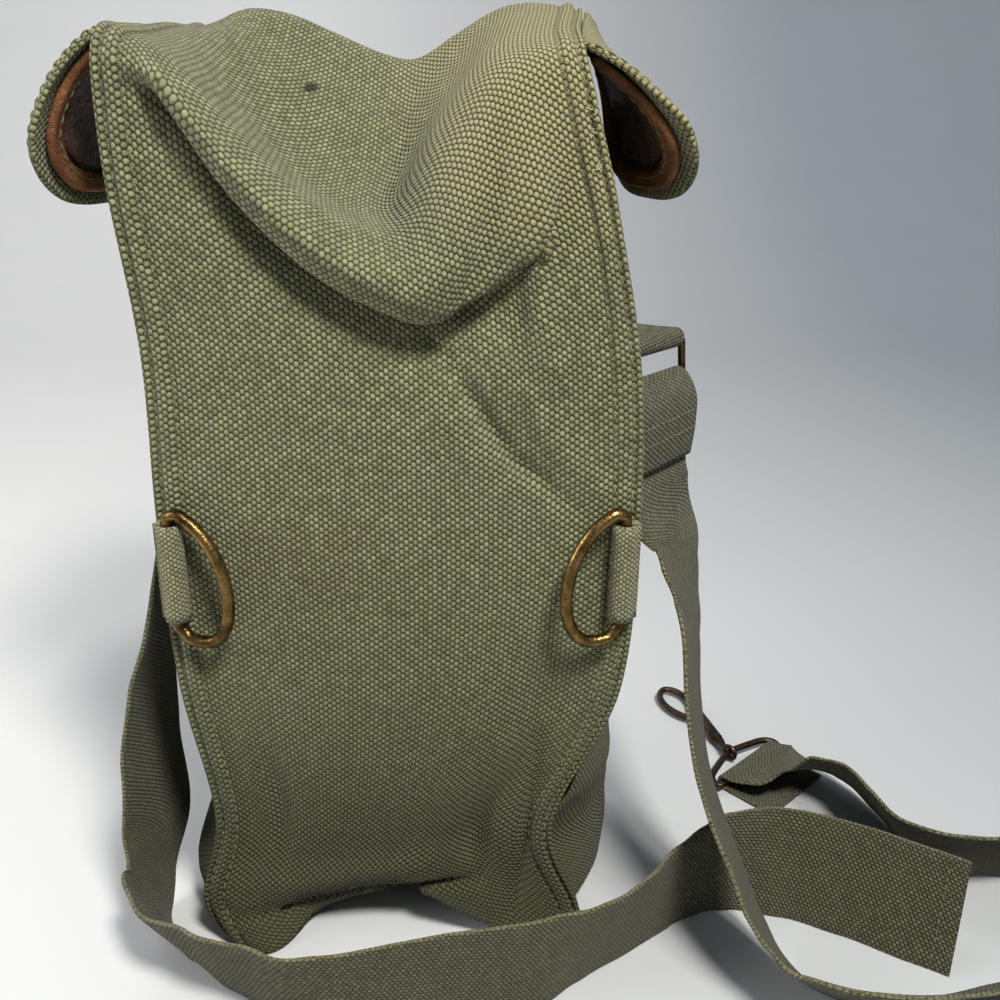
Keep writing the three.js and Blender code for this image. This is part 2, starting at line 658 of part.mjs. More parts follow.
function earLeather(ear) {
  const inset = leather_inset + band_width + leather_clear;
  const lift = -ear_canvas / 2 - 3 * gap;
  return earSheet(ear, ear_width / 2 - inset, ear_length - inset, inset, leather, lift);
}

function earBand(ear) {
  const side_steps = 5;
  const end_steps = 14;
  const outline = (inner) => {
    const half = ear_width / 2 - leather_inset - inner * band_width;
    const length = ear_length - leather_inset - inner * band_width;
    const shoulder = earReach(half, half, length);
    const places = [];
    const along = (i) => lerp(leather_inset, shoulder, i / side_steps);
    for (let i = 0; i < side_steps; i += 1) places.push({ a: -half, b: along(i) });
    for (let i = 0; i <= end_steps; i += 1) {
      const a = half * Math.sin(Math.PI * (i / end_steps - 0.5));
      places.push({ a, b: earReach(a, half, length) });
    }
    for (let i = side_steps - 1; i >= 0; i -= 1) places.push({ a: half, b: along(i) });
    return places;
  };
  const lift = -ear_canvas / 2 - 3 * gap;
  const grid = [0, 0.5, 1].map((inner) => outline(inner).map(({ a, b }) => earPoint(ear, a, b, lift)));
  return shellBody(grid, band_thickness, -ear.sign);
}

// Webbing straps

// Frames of a strap: middle, the way across it, and the way through it
function strapFrames(rows, steps) {
  const places = rows.map((row) => {
    if (row.middle) return { middle: row.middle, across: row.across };
    const across = vec(row.ex, row.ey, row.ez).normalize();
    const stand = 0.5 * (Math.abs(across.z) * strap_width + Math.sqrt(1 - across.z ** 2) * webbing);
    const z = row.foot * bag_height + stand + 2 * floor_clear;
    return { middle: vec(row.x * bag_width, row.y * bag_depth, z), across };
  });
  const route = new THREE.CatmullRomCurve3(places.map((p) => p.middle), false, 'centripetal');
  const spans = places.length - 1;
  const count = spans * steps;
  return Array.from({ length: count + 1 }, (_, i) => {
    const t = i / count;
    const place = Math.min(Math.floor(t * spans), spans - 1);
    const share = t * spans - place;
    const ease = share * share * (3 - 2 * share);
    const middle = route.getPoint(t);
    const ahead = route.getTangent(t);
    const across = places[place].across.clone().lerp(places[place + 1].across, ease);
    across.addScaledVector(ahead, -across.dot(ahead)).normalize();
    const through = ahead.clone().cross(across);
    const low = 0.5 * (Math.abs(across.z) * strap_width + Math.abs(through.z) * webbing) + floor_clear;
    middle.z = Math.max(middle.z, low);
    return { middle, across, through };
  });
}

function strapBody(frames, width = strap_width) {
  const corners = [[-0.5, -0.5], [0.5, -0.5], [0.5, 0.5], [-0.5, 0.5]];
  const loops = frames.map((frame) => corners.map(([a, b]) => frame.middle.clone()
    .addScaledVector(frame.across, a * width)
    .addScaledVector(frame.through, b * webbing)));
  return loftBody(loops);
}

function leftStrap() {
  const wallClear = 2 * gap + webbing / 2;
  const sewn = [0.63, 0.56].map((height) => {
    const z = height * bag_height;
    const reaches = [-0.4, -0.3, -0.2, -0.1, 0].map((y) => gussetSide('left', z, y * bag_depth));
    const outermost = Math.min(...reaches);
    return { middle: vec(outermost - wallClear, -0.2 * bag_depth, z), across: vec(0, -1, 0) };
  });
  return strapBody(strapFrames([...sewn, ...left_strap_route], route_steps));
}

// Slider, its chape and the right strap

const slider_along = vec(Math.sin(slider_yaw), Math.cos(slider_yaw), 0);
const slider_out = vec(Math.cos(slider_yaw), -Math.sin(slider_yaw), 0);
const slider_middle_y = 0.03 * bag_depth;
const slider_centre_x = gussetSide('right', slider_top, slider_middle_y) + slider_stand_off;
const middle_bar = slider_top - slider_middle;
const bottom_bar = slider_top - slider_height;

// Point of the slider's plane: along the bars, height, and out from the plane
function sliderPoint(along, z, out) {
  const foot = slider_lean * (slider_top - z);
  return vec(slider_centre_x + foot, slider_middle_y, z)
    .addScaledVector(slider_along, along)
    .addScaledVector(slider_out, out);
}

function slider() {
  const half = slider_width / 2;
  const corner = slider_corner;
  const path = [];
  const round = (a, z, from) => {
    for (let k = 0; k <= 3; k += 1) {
      const turn = from + (k / 3) * Math.PI / 2;
      path.push(sliderPoint(a + corner * Math.cos(turn), z + corner * Math.sin(turn), 0));
    }
  };
  round(half - corner, slider_top - corner, 0);
  round(-half + corner, slider_top - corner, Math.PI / 2);
  round(-half + corner, bottom_bar + corner, Math.PI);
  round(half - corner, bottom_bar + corner, 1.5 * Math.PI);
  const frame = wireBody(path, slider_wire / 2, true);
  const ends = [sliderPoint(-half, middle_bar, 0), sliderPoint(half, middle_bar, 0)];
  const bar = wireBody(ends, slider_wire / 2, false);
  return fuse([frame, bar]);
}

// Webbing loop round a bar: an eye round the bar and a doubled tail to where it is sewn
function loopBody(stations, barWire) {
  const turns = eye_sides;
  const inner = barWire / 2 + 1.5 * gap;
  const outer = inner + webbing;
  const axis = stations[stations.length - 1].bar.clone().sub(stations[0].bar).normalize();
  const loops = stations.map(({ bar, tail, up }) => {
    const toTail = tail.clone().sub(bar);
    const back = toTail.addScaledVector(axis, -toTail.dot(axis)).normalize();
    const lift = up.clone().addScaledVector(back, -up.dot(back)).normalize();
    const eye = (radius) => Array.from({ length: turns }, (_, k) => {
      const turn = ((k + 0.5) / turns) * 2 * Math.PI;
      return bar.clone()
        .addScaledVector(back, radius * Math.cos(turn))
        .addScaledVector(lift, radius * Math.sin(turn));
    });
    const skin = eye(outer);
    skin[0] = tail.clone().addScaledVector(lift, webbing);
    skin[turns - 1] = tail.clone().addScaledVector(lift, -webbing);
    return { skin, hole: eye(inner) };
  });
  return loftBody(loops.map((l) => l.skin), loops.map((l) => l.hole));
}

function sliderChape() {
  const half = 0.5 * strap_width - chape_narrower;
  const stations = [-1, -0.5, 0, 0.5, 1].map((share) => {
    const bar = sliderPoint(share * half, slider_top, 0);
    const wall = gussetSide('right', slider_top, bar.y);
    const tail = vec(Math.min(wall + 3 * gap, bar.x - chape_tail), bar.y, slider_top + webbing / 2);
    return { bar, tail, up: vec(0, 0, 1) };
  });
  return loopBody(stations, slider_wire);
}

const hook_ring_along = vec(Math.cos(hook_ring_heading), Math.sin(hook_ring_heading), 0);
const hook_ring_back = vec(Math.sin(hook_ring_heading), -Math.cos(hook_ring_heading), 0);
const hook_bar_height = gap + webbing + gap + hook_ring_wire / 2;
const hook_bar_middle = vec(hook_ring_place.x * bag_width, hook_ring_place.y * bag_depth, hook_bar_height);

function rightStrap() {
  const clear = slider_wire / 2 + gap + webbing / 2;
  const below = (share) => lerp(middle_bar, bottom_bar, share);
  const head = [
    [0.6 * slider_bulge, below(0.74)],
    [0.95 * slider_bulge, below(0.42)],
    [slider_bulge, below(0.14)],
    [1.45 * clear, middle_bar + 0.4 * clear],
    [0.7 * clear, middle_bar + clear],
    [0, middle_bar + 1.15 * clear],
    [-0.8 * clear, middle_bar + 0.75 * clear],
    [-1.1 * clear, below(0.02)],
    [-1.1 * clear, below(0.22)],
    [-0.12 * clear, below(0.53)],
    [0.7 * clear, below(0.76)],
    [1.7 * clear, bottom_bar],
  ].map(([out, z]) => ({ middle: sliderPoint(0, z, out), across: slider_along.clone().negate() }));
  const reach = hook_ring_wire / 2 + gap + webbing / 2;
  const back = strap_return / reach;
  const tail = [
    [0.47 * back, 2.4],
    [0.17 * back, 1.3],
    [0, 1],
    [-0.75, 0.75],
    [-1.05, 0],
    [-0.75, -0.75],
    [0, -1],
    [0.17 * back, -1],
    [back, -1],
  ].map(([behind, up]) => ({
    middle: hook_bar_middle.clone()
      .addScaledVector(hook_ring_back, behind * reach)
      .add(vec(0, 0, up * reach)),
    across: hook_ring_along.clone().negate(),
  }));
  return strapBody(strapFrames([...head, ...right_strap_route, ...tail], route_steps));
}

function hookRing() {
  const half = hook_ring_bar / 2;
  const right = [[0.5, 0], [1, 0], [1.02, 0.25], [0.9, 0.55], [0.5, 0.82], [0.1, 1]];
  const left = right.map(([a, b]) => [-a, b]).reverse();
  const path = [[0, 0], ...right, ...left].map(([a, b]) => hook_bar_middle.clone()
    .addScaledVector(hook_ring_along, a * half)
    .addScaledVector(hook_ring_back, -b * hook_ring_depth)
    .add(vec(0, 0, b * hook_ring_rise)));
  return wireBody(path, hook_ring_wire / 2, true);
}

function hook() {
  const apex = hook_bar_middle.clone()
    .addScaledVector(hook_ring_back, -hook_ring_depth)
    .add(vec(0, 0, hook_ring_rise));
  const ahead = vec(Math.cos(hook_heading), Math.sin(hook_heading), 0);
  const aside = vec(-ahead.y, ahead.x, 0);
  const eyeRadius = hook_ring_wire / 2 + hook_eye_clear + hook_eye_wire / 2;
  const eye = Array.from({ length: eye_sides }, (_, k) => {
    const turn = (k / eye_sides) * 2 * Math.PI;
    return apex.clone()
      .addScaledVector(hook_ring_back, -eyeRadius * Math.cos(turn))
      .add(vec(0, 0, eyeRadius * Math.sin(turn)));
  });
  const rise = hook_shank / 2 + gap - apex.z;
  const place = (along, side) => apex.clone()
    .addScaledVector(ahead, along * hook_length)
    .addScaledVector(aside, side * hook_loop_width)
    .add(vec(0, 0, rise * clamp01(4 * along)));
  const shank = [0.14, 0.25, 0.4, 0.6, 0.72].map((along) => place(along, 0));
  shank.unshift(apex.clone().addScaledVector(hook_ring_back, -eyeRadius));
  const loop = [
    [0.5, 0],
    [0.72, -0.02],
    [0.88, 0.02],
    [0.97, 0.25],
    [1.0, 0.55],
    [0.95, 0.85],
    [0.84, 1.0],
    [0.7, 0.9],
    [0.56, 0.5],
  ].map(([along, side]) => place(along, side));
  const thick = (t) => lerp(hook_eye_wire / 2, hook_shank / 2, clamp01(2.5 * t));
  return fuse([
    wireBody(eye, hook_eye_wire / 2, true, 6),
    wireBody(shank, thick, false),
    wireBody(loop, hook_wire / 2, true),
  ]);
}

// D-rings in their webbing loops on the panel's edges

// Place of a D-ring's bar: along it upward, in from the panel's edge, and out from the panel
function ringFrame(side) {
  const sign = side === 'left' ? -1 : 1;
  const across = side === 'left' ? ring_across : 1 - ring_across;
  const edge = (z) => vec(panelEdge(side, z), panelY(across, z), z);
  const low = edge(loop_ring_height - loop_height / 2);
  const high = edge(loop_ring_height + loop_height / 2);
  const up = high.clone().sub(low).normalize();
  const out = vec(0, -1, 0);
  const inward = vec(-sign, 0, 0).addScaledVector(up, sign * up.x).normalize();
  const knuckle = ring_wire / 2 + gap + webbing;
  const middle = low.clone().lerp(high, 0.5)
    .addScaledVector(inward, knuckle + ring_inset)
    .addScaledVector(out, knuckle + gap);
  return { sign, up, out, inward, middle, knuckle };
}

function ringLoop(side) {
  const { up, out, inward, middle, knuckle } = ringFrame(side);
  const stations = [-1, 0, 1].map((share) => {
    const bar = middle.clone().addScaledVector(up, share * loop_height / 2);
    const tail = bar.clone()
      .addScaledVector(inward, -knuckle - 1.5 * gap)
      .addScaledVector(out, webbing - knuckle);
    return { bar, tail, up: out };
  });
  return loopBody(stations, ring_wire);
}

function dRing(side) {
  const { up, out, inward, middle } = ringFrame(side);
  const place = (reach, rise) => middle.clone()
    .addScaledVector(inward, reach)
    .addScaledVector(up, rise - ring_droop * reach)
    .addScaledVector(out, ring_lift * clamp01(reach / ring_reach));
  const half = ring_bar / 2;
  const path = [];
  for (let i = 0; i <= 4; i += 1) path.push(place(0, lerp(-half + 3, half - 3, i / 4)));
  for (let i = 1; i <= 17; i += 1) {
    const turn = (i / 18) * Math.PI;
    path.push(place(ring_reach * Math.sin(turn) ** 0.75, half * Math.cos(turn)));
  }
  return wireBody(path, ring_wire / 2, true);
}

// Plain stud on the flap's end
function lidStud() {
  const radius = stud_diameter / 2;
  const profile = [[0, 0], [0.55, 0], [0.55, 0.4], [1, 0.45], [0.95, 0.85], [0.5, 1], [0, 1]]
    .map(([r, h]) => new THREE.Vector2(r * radius, h * stud_height));
  return new THREE.LatheGeometry(profile, 16);
}

// Materials
function finish(color, roughness, metalness) {
  return new THREE.MeshStandardMaterial({ color, roughness, metalness });
}
const canvas_finish = finish(0x6c6b4c, 0.95, 0);
const webbing_finish = finish(0x5c5c40, 0.9, 0);
const dark_leather = finish(0x2d1a16, 0.6, 0);
const tan_leather = finish(0x8a4f26, 0.65, 0);
const brass = finish(0x7a5c2e, 0.35, 1);
const dark_bronze = finish(0x3e2c1e, 0.45, 1);

const bag = new THREE.Group();
function add(name, geometry, material) {
  const mesh = new THREE.Mesh(geometry, material);
  mesh.name = name;
  bag.add(mesh);
  return mesh;
}

add('back_panel_lid', backPanelLid(), canvas_finish);
add('gusset', gusset(), canvas_finish);
add('front_panel', frontPanel(), canvas_finish);
for (const side of ['left', 'right']) {
  add(`ear_${side}_canvas`, earCanvas(ears[side]), canvas_finish);
  add(`ear_${side}_leather`, earLeather(ears[side]), dark_leather);
  add(`ear_${side}_band`, earBand(ears[side]), tan_leather);
  add(`ring_loop_${side}`, ringLoop(side), webbing_finish);
  add(`ring_${side}`, dRing(side), brass);
}
add('slider', slider(), brass);
add('slider_chape', sliderChape(), webbing_finish);
add('strap_left', leftStrap(), webbing_finish);
add('strap_right', rightStrap(), webbing_finish);
add('hook_ring', hookRing(), dark_bronze);
add('hook', hook(), dark_bronze);
const stud = add('lid_stud', lidStud(), brass);
stud.position.set(0, 0.5 * bag_depth + canvas + 3 * gap, bag_height - 0.8 * flap_length);

export default bag;
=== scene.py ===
# %% [markdown]
# A gas mask bag of coarse olive canvas stands on a table, with its lid sagged and its webbing straps
# lying round it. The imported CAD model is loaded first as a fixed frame, and nothing in it is moved.
# Better materials on its solids would be the quickest way, but they are too coarse for folds. So every
# cloth piece is built again from the same named sizes, only finer, and sits where its solid sits.

# %% Frame and helpers
import math
import bpy
import numpy as np
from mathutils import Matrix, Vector


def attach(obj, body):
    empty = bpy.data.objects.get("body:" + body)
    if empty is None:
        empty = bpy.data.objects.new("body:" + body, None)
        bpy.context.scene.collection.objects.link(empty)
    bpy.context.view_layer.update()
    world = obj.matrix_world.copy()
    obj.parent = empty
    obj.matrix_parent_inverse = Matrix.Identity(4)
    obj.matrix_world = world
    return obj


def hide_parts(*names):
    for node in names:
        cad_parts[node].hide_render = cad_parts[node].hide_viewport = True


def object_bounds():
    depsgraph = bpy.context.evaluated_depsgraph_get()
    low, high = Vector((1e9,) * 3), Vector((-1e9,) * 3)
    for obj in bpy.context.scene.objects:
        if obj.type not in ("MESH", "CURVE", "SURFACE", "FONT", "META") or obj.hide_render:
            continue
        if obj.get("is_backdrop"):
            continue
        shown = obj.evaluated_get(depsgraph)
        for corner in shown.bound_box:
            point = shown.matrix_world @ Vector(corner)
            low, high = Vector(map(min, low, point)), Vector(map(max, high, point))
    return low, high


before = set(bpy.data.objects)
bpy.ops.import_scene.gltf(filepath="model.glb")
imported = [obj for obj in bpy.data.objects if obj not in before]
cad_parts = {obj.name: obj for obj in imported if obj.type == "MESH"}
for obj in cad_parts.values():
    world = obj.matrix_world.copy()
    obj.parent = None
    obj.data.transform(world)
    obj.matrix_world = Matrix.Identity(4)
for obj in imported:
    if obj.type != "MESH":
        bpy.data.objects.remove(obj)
cad_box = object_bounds()
print("CAD box", [[round(v, 4) for v in corner] for corner in cad_box])

# Driving sizes in millimetres, the same as in the CAD source
BAG_WIDTH = 178
BAG_DEPTH = 100
BAG_HEIGHT = 352
CANVAS = 2.4
GAP = 0.3
MM_PER_METRE = 1000
UV_SCALE = 0.01  # one UV unit is 100 mm of cloth


def lerp(a, b, t):
    return a + (b - a) * t


def clamp01(value):
    return min(max(value, 0.0), 1.0)


def bell(value):
    return np.exp(-value * value)


def unit(vectors):
    vectors = np.asarray(vectors, float)
    return vectors / np.maximum(np.linalg.norm(vectors, axis=-1, keepdims=True), 1e-9)


def read_table(rows, at, column):
    """Smooth curve through one column of a table, keyed by the first column."""
    keys = [row[0] for row in rows]
    at = min(max(at, keys[0]), keys[-1])
    last = len(rows) - 1
    i = 0
    while i < last - 1 and at > keys[i + 1]:
        i += 1

    def slope(k):
        before, after = rows[max(k - 1, 0)], rows[min(k + 1, last)]
        return (after[column] - before[column]) / (after[0] - before[0])

    span = keys[i + 1] - keys[i]
    t = (at - keys[i]) / span
    a, b = rows[i][column], rows[i + 1][column]
    ease = t * t * (3 - 2 * t)
    return a + (b - a) * ease + t * (1 - t) ** 2 * span * slope(i) - t * t * (1 - t) * span * slope(i + 1)


def smooth_curve(points, per_span):
    """Centripetal Catmull-Rom curve through points, with per_span steps (a number or one per span)."""
    p = np.asarray(points, float)
    last = len(p) - 1
    steps = [per_span] * last if isinstance(per_span, int) else per_span
    out = [p[0]]
    for i in range(last):
        p1, p2 = p[i], p[i + 1]
        p0 = p[i - 1] if i > 0 else 2 * p1 - p2
        p3 = p[i + 2] if i + 2 <= last else 2 * p2 - p1
        d0, d1, d2 = (max(np.linalg.norm(b - a) ** 0.5, 1e-4) for a, b in ((p0, p1), (p1, p2), (p2, p3)))
        t1 = ((p1 - p0) / d0 - (p2 - p0) / (d0 + d1) + (p2 - p1) / d1) * d1
        t2 = ((p2 - p1) / d1 - (p3 - p1) / (d1 + d2) + (p3 - p2) / d2) * d1
        for k in range(1, steps[i] + 1):
            t = k / steps[i]
            out.append(p1 + t1 * t + (-3 * p1 + 3 * p2 - 2 * t1 - t2) * t ** 2
                       + (2 * p1 - 2 * p2 + t1 + t2) * t ** 3)
    return np.array(out)


# %% [markdown]
# The camera comes first. It looks along +Y and 21 degrees down, from where the photograph was taken,
# with a lens as long as its sensor is wide. One big soft light would be simplest, but it hides the
# folds. So a small lamp above and to the right makes the lid bright and lets the rolled rim throw its
# shadow down the back panel. Daylight comes from the same side, a window lights the left ear, a wide
# lamp washes the wall, and the pale world fills the rest.

# %% Camera and lights
CAMERA_PLACE = (0.038, -0.390, 0.335)
CAMERA_PITCH = 21
LENS = SENSOR = 36
# name: place and aim in metres, size in metres, power in watts, colour
LAMPS = {
    "lamp_front": ((0.26, -0.50, 0.92), (0.0, 0.0, 0.25), 0.18, 9.0, (1.0, 0.985, 0.94)),
    "wall_wash": ((-0.7, 0.8, 1.9), (-0.4, 2.4, 0.2), 1.0, 12, (0.97, 0.98, 1.0)),
    "window_left": ((-0.95, -0.25, 0.6), (-0.1, 0.0, 0.15), 0.6, 5.5, (0.98, 0.99, 1.0))}
DAYLIGHT_POWER, DAYLIGHT_ANGLE, DAYLIGHT_COLOUR = 0.9, 8, (1.0, 0.985, 0.955)
DAYLIGHT_DIRECTION = (-0.30, 0.42, -0.86)
WORLD_COLOUR, WORLD_STRENGTH = (0.76, 0.85, 0.97, 1), 0.24

scene = bpy.context.scene
camera_data = bpy.data.cameras.new("camera")
camera_data.lens = LENS
camera_data.sensor_width = SENSOR
camera = bpy.data.objects.new("camera", camera_data)
camera.location = CAMERA_PLACE
camera.rotation_euler = (math.radians(90 - CAMERA_PITCH), 0, 0)
scene.collection.objects.link(camera)
scene.camera = camera


def add_light(name, kind, power, colour, direction):
    """Light that shines along a direction."""
    data = bpy.data.lights.new(name, kind)
    data.energy = power
    data.color = colour
    light = bpy.data.objects.new(name, data)
    light.rotation_euler = Vector(direction).to_track_quat("-Z", "Y").to_euler()
    scene.collection.objects.link(light)
    return light


for name, (place, aim, size, power, colour) in LAMPS.items():
    lamp = add_light(name, "AREA", power, colour, Vector(aim) - Vector(place))
    lamp.data.shape = "DISK"
    lamp.data.size = size
    lamp.location = place
daylight = add_light("daylight", "SUN", DAYLIGHT_POWER, DAYLIGHT_COLOUR, DAYLIGHT_DIRECTION)
daylight.data.angle = math.radians(DAYLIGHT_ANGLE)

world = bpy.data.worlds.new("pale_room")
scene.world = world
world.use_nodes = True
background = world.node_tree.nodes["Background"]
background.inputs["Color"].default_value = WORLD_COLOUR
background.inputs["Strength"].default_value = WORLD_STRENGTH
scene.view_settings.view_transform = "Standard"
scene.view_settings.exposure = 0.0


# %% [markdown]
# Every finish here is procedural: its nodes work from coordinates, where an image texture would need a
# file and blur close up. Building nodes by hand takes many lines, so a few helpers add, link and blend
# them. What several finishes share becomes a node group with named sockets, which puts out masks and
# heights only, and the Principled shader stays in each material.

# %% Node helpers
def add_node(tree, kind, **settings):
    """New node. A setting is one of its sockets or one of its properties."""
    node = tree.nodes.new(kind)
    for key, value in settings.items():
        if key in node.inputs:
            node.inputs[key].default_value = value
        else:
            setattr(node, key, value)
    return node


def feed(tree, source, target):
    """Link, or set a plain number or colour on the socket."""
    if hasattr(source, "is_output"):
        tree.links.new(source, target)
    else:
        target.default_value = source
    return target


def maths(tree, operation, a, b=0.0, c=0.0, clamp=False):
    node = tree.nodes.new("ShaderNodeMath")
    node.operation = operation
    node.use_clamp = clamp
    for socket, value in zip(node.inputs, (a, b, c)):
        feed(tree, value, socket)
    return node.outputs[0]


def ranged(tree, value, low, high, to_low=0.0, to_high=1.0, smooth=True):
    """Value moved from the range low..high to another one, and kept inside it."""
    node = tree.nodes.new("ShaderNodeMapRange")
    node.interpolation_type = "SMOOTHSTEP" if smooth else "LINEAR"
    ends = {"Value": value, "From Min": low, "From Max": high, "To Min": to_low, "To Max": to_high}
    for key, item in ends.items():
        feed(tree, item, node.inputs[key])
    return node.outputs["Result"]


def blended(tree, factor, a, b):
    """Colour between a and b."""
    node = tree.nodes.new("ShaderNodeMix")
    node.data_type = "RGBA"
    node.clamp_factor = True
    feed(tree, factor, node.inputs["Factor"])
    feed(tree, a, node.inputs["A"])
    feed(tree, b, node.inputs["B"])
    return node.outputs["Result"]


def noise(tree, vector, scale, detail=3.0, rough=0.55):
    node = add_node(tree, "ShaderNodeTexNoise", Scale=scale, Detail=detail, Roughness=rough)
    feed(tree, vector, node.inputs["Vector"])
    return node.outputs["Fac"]


def group(name, inputs, outputs):
    """New node group with float or vector inputs and named outputs."""
    tree = bpy.data.node_groups.new(name, "ShaderNodeTree")
    for label, kind, value in inputs:
        socket = tree.interface.new_socket(label, in_out="INPUT", socket_type=kind)
        if value is not None:
            socket.default_value = value
    for label, kind in outputs:
        tree.interface.new_socket(label, in_out="OUTPUT", socket_type=kind)
    return tree, tree.nodes.new("NodeGroupInput").outputs, tree.nodes.new("NodeGroupOutput").inputs


def use_group(tree, shared, **values):
    """Place a shared group. An underscore in a value's name stands for the socket's space."""
    node = tree.nodes.new("ShaderNodeGroup")
    node.node_tree = shared
    for key, value in values.items():
        feed(tree, value, node.inputs[key.replace("_", " ")])
    return node.outputs


# %% [markdown]
# Weave group. The canvas is a plain weave of thick threads, which shows as oval grains in brick-like
# rows. It could be a displaced mesh, but grains of 3 mm would take millions of faces, so it is a bump.
# Two lattices of cells hold the grains, the second one shifted by half a cell both ways, and the
# nearer grain gives the height. The UV map is in real size, so a cell is given in millimetres. A white
# noise on the grain's number makes threads a little lighter or darker than their neighbours.

# %% Weave group
FLOAT, VECTOR = "NodeSocketFloat", "NodeSocketVector"
GRAIN_HALVES = {"X": 0.265, "Y": 0.425}  # half width and half length, as shares of a cell
GRAIN_FOOT, GROOVE_START, GROOVE_FULL = 1.45, 0.55, 1.35

weave, weave_in, weave_out = group(
    "coarse_weave",
    [("Vector", VECTOR, None), ("Cell Across", FLOAT, 3.35), ("Cell Along", FLOAT, 2.5),
     ("Slant", FLOAT, 0.0), ("Wander", FLOAT, 0.5), ("Fullness", FLOAT, 1.0)],
    [("Height", FLOAT), ("Groove", FLOAT), ("Thread Shade", FLOAT)])
wander = add_node(weave, "ShaderNodeTexNoise", Scale=16.0, Detail=2.0)
feed(weave, weave_in["Vector"], wander.inputs["Vector"])
split_wander = add_node(weave, "ShaderNodeSeparateXYZ")
feed(weave, wander.outputs["Color"], split_wander.inputs[0])
split_uv = add_node(weave, "ShaderNodeSeparateXYZ")
feed(weave, weave_in["Vector"], split_uv.inputs[0])


def drifted(axis):
    """Millimetres along one UV axis, moved to and fro by the wander noise."""
    centred = maths(weave, "SUBTRACT", split_wander.outputs[axis], 0.5)
    off = maths(weave, "MULTIPLY", centred, weave_in["Wander"])
    return maths(weave, "ADD", maths(weave, "DIVIDE", split_uv.outputs[axis], UV_SCALE), off)


drift_v = drifted("Y")
drift_u = maths(weave, "ADD", drifted("X"), maths(weave, "MULTIPLY", drift_v, weave_in["Slant"]))
along_u = maths(weave, "DIVIDE", drift_u, weave_in["Cell Across"])
along_v = maths(weave, "DIVIDE", drift_v, weave_in["Cell Along"])


def lattice(offset):
    """Distance from the nearest grain's middle (1 at its edge) and the grain's number, for one lattice."""
    parts, numbers = [], add_node(weave, "ShaderNodeCombineXYZ", Z=offset)
    for place, socket in ((along_u, "X"), (along_v, "Y")):
        shifted = maths(weave, "ADD", place, offset)
        feed(weave, maths(weave, "FLOOR", shifted), numbers.inputs[socket])
        off = maths(weave, "ABSOLUTE", maths(weave, "SUBTRACT", maths(weave, "FRACT", shifted), 0.5))
        reach = maths(weave, "MULTIPLY", weave_in["Fullness"], GRAIN_HALVES[socket])
        parts.append(maths(weave, "POWER", maths(weave, "DIVIDE", off, reach), 2.0))
    return maths(weave, "ADD", *parts), numbers.outputs[0]


far_one, number_one = lattice(0.0)
far_two, number_two = lattice(0.5)
nearest = maths(weave, "MINIMUM", far_one, far_two)
feed(weave, ranged(weave, nearest, GRAIN_FOOT, 0.0), weave_out["Height"])
feed(weave, ranged(weave, nearest, GROOVE_START, GROOVE_FULL), weave_out["Groove"])
second_nearer = maths(weave, "LESS_THAN", far_two, far_one)
thread_noise = add_node(weave, "ShaderNodeTexWhiteNoise", noise_dimensions="3D")
feed(weave, blended(weave, second_nearer, number_one, number_two), thread_noise.inputs["Vector"])
feed(weave, thread_noise.outputs["Value"], weave_out["Thread Shade"])

# %% [markdown]
# Patchiness group. Old cloth, leather and brass are never one even colour: they fade, gather dust and
# are rubbed by hands. That could be painted on each piece, but two noises of different size on the
# piece's own coordinates serve all of them, each with its own scale.

# %% Patch group
patches, patches_in, patches_out = group(
    "patchiness", [("Vector", VECTOR, None), ("Large", FLOAT, 14.0), ("Small", FLOAT, 120.0)],
    [("Broad", FLOAT), ("Fine", FLOAT)])
broad = add_node(patches, "ShaderNodeTexNoise", Detail=3.0)
feed(patches, patches_in["Vector"], broad.inputs["Vector"])
feed(patches, patches_in["Large"], broad.inputs["Scale"])
fine = add_node(patches, "ShaderNodeTexNoise", Detail=4.0)
feed(patches, patches_in["Vector"], fine.inputs["Vector"])
feed(patches, patches_in["Small"], fine.inputs["Scale"])
feed(patches, ranged(patches, broad.outputs["Fac"], 0.3, 0.7), patches_out["Broad"])
feed(patches, ranged(patches, fine.outputs["Fac"], 0.3, 0.7), patches_out["Fine"])


# %% [markdown]
# Canvas, webbing, tape and thread share one recipe. A plain olive would look like plastic, so the
# colour goes from a darker to a lighter olive with the grain's number, the gaps between the grains are
# painted nearly black as shade, and slow patches fade it. The grain height drives a bump, and a little
# sheen gives the dry fuzz of cotton. The bag's canvas has painted shade that darkens it near the table,
# a painted pool of yellow light at the top right and a stain below the middle. The webbing has pale
# speckled selvages, fuzz with a painted highlight on it.

# %% Cloth materials
MATT_SPECULAR = 0.2
DRY_ROUGHNESS, FUZZ_SHEEN, SHEEN_ROUGHNESS = 0.92, 0.12, 0.5
FUZZ_SCALE, FUZZ_HEIGHT, WEAVE_STRENGTH = 1800.0, 0.3, 0.9
# Painted shade: the canvas darkens towards the table below this height in metres, by this share at most
SHADE_BELOW, SHADE_SHARE = 0.22, 0.95
# Spots on the front: middle (x, z) and radii in metres, and colour. The first is a painted pool of light on
# the lid's top right; the other two are a real stain and a dark speck.
LIT_PATCH = ((0.058, 0.345), (0.06, 0.055), (0.34, 0.30, 0.14, 1))
STAIN = ((-0.032, 0.182), (0.035, 0.024), (0.17, 0.115, 0.055, 1))
SPECK = ((-0.033, 0.345), (0.0028, 0.002), (0.03, 0.022, 0.012, 1))
# Selvage colour: the pale fuzz of the edges, with a painted highlight on it
SELVAGE_FUZZ_AND_HIGHLIGHT, SELVAGE_SHARE = (0.25, 0.235, 0.12, 1), 0.75
SELVAGE_FROM, SELVAGE_FULL = 0.9, 0.2
STRAP_WIDTH = 48


def new_material(name):
    material = bpy.data.materials.new(name)
    material.use_nodes = True
    tree = material.node_tree
    shader = tree.nodes["Principled BSDF"]
    shader.inputs["Specular IOR Level"].default_value = MATT_SPECULAR
    return material, tree, shader


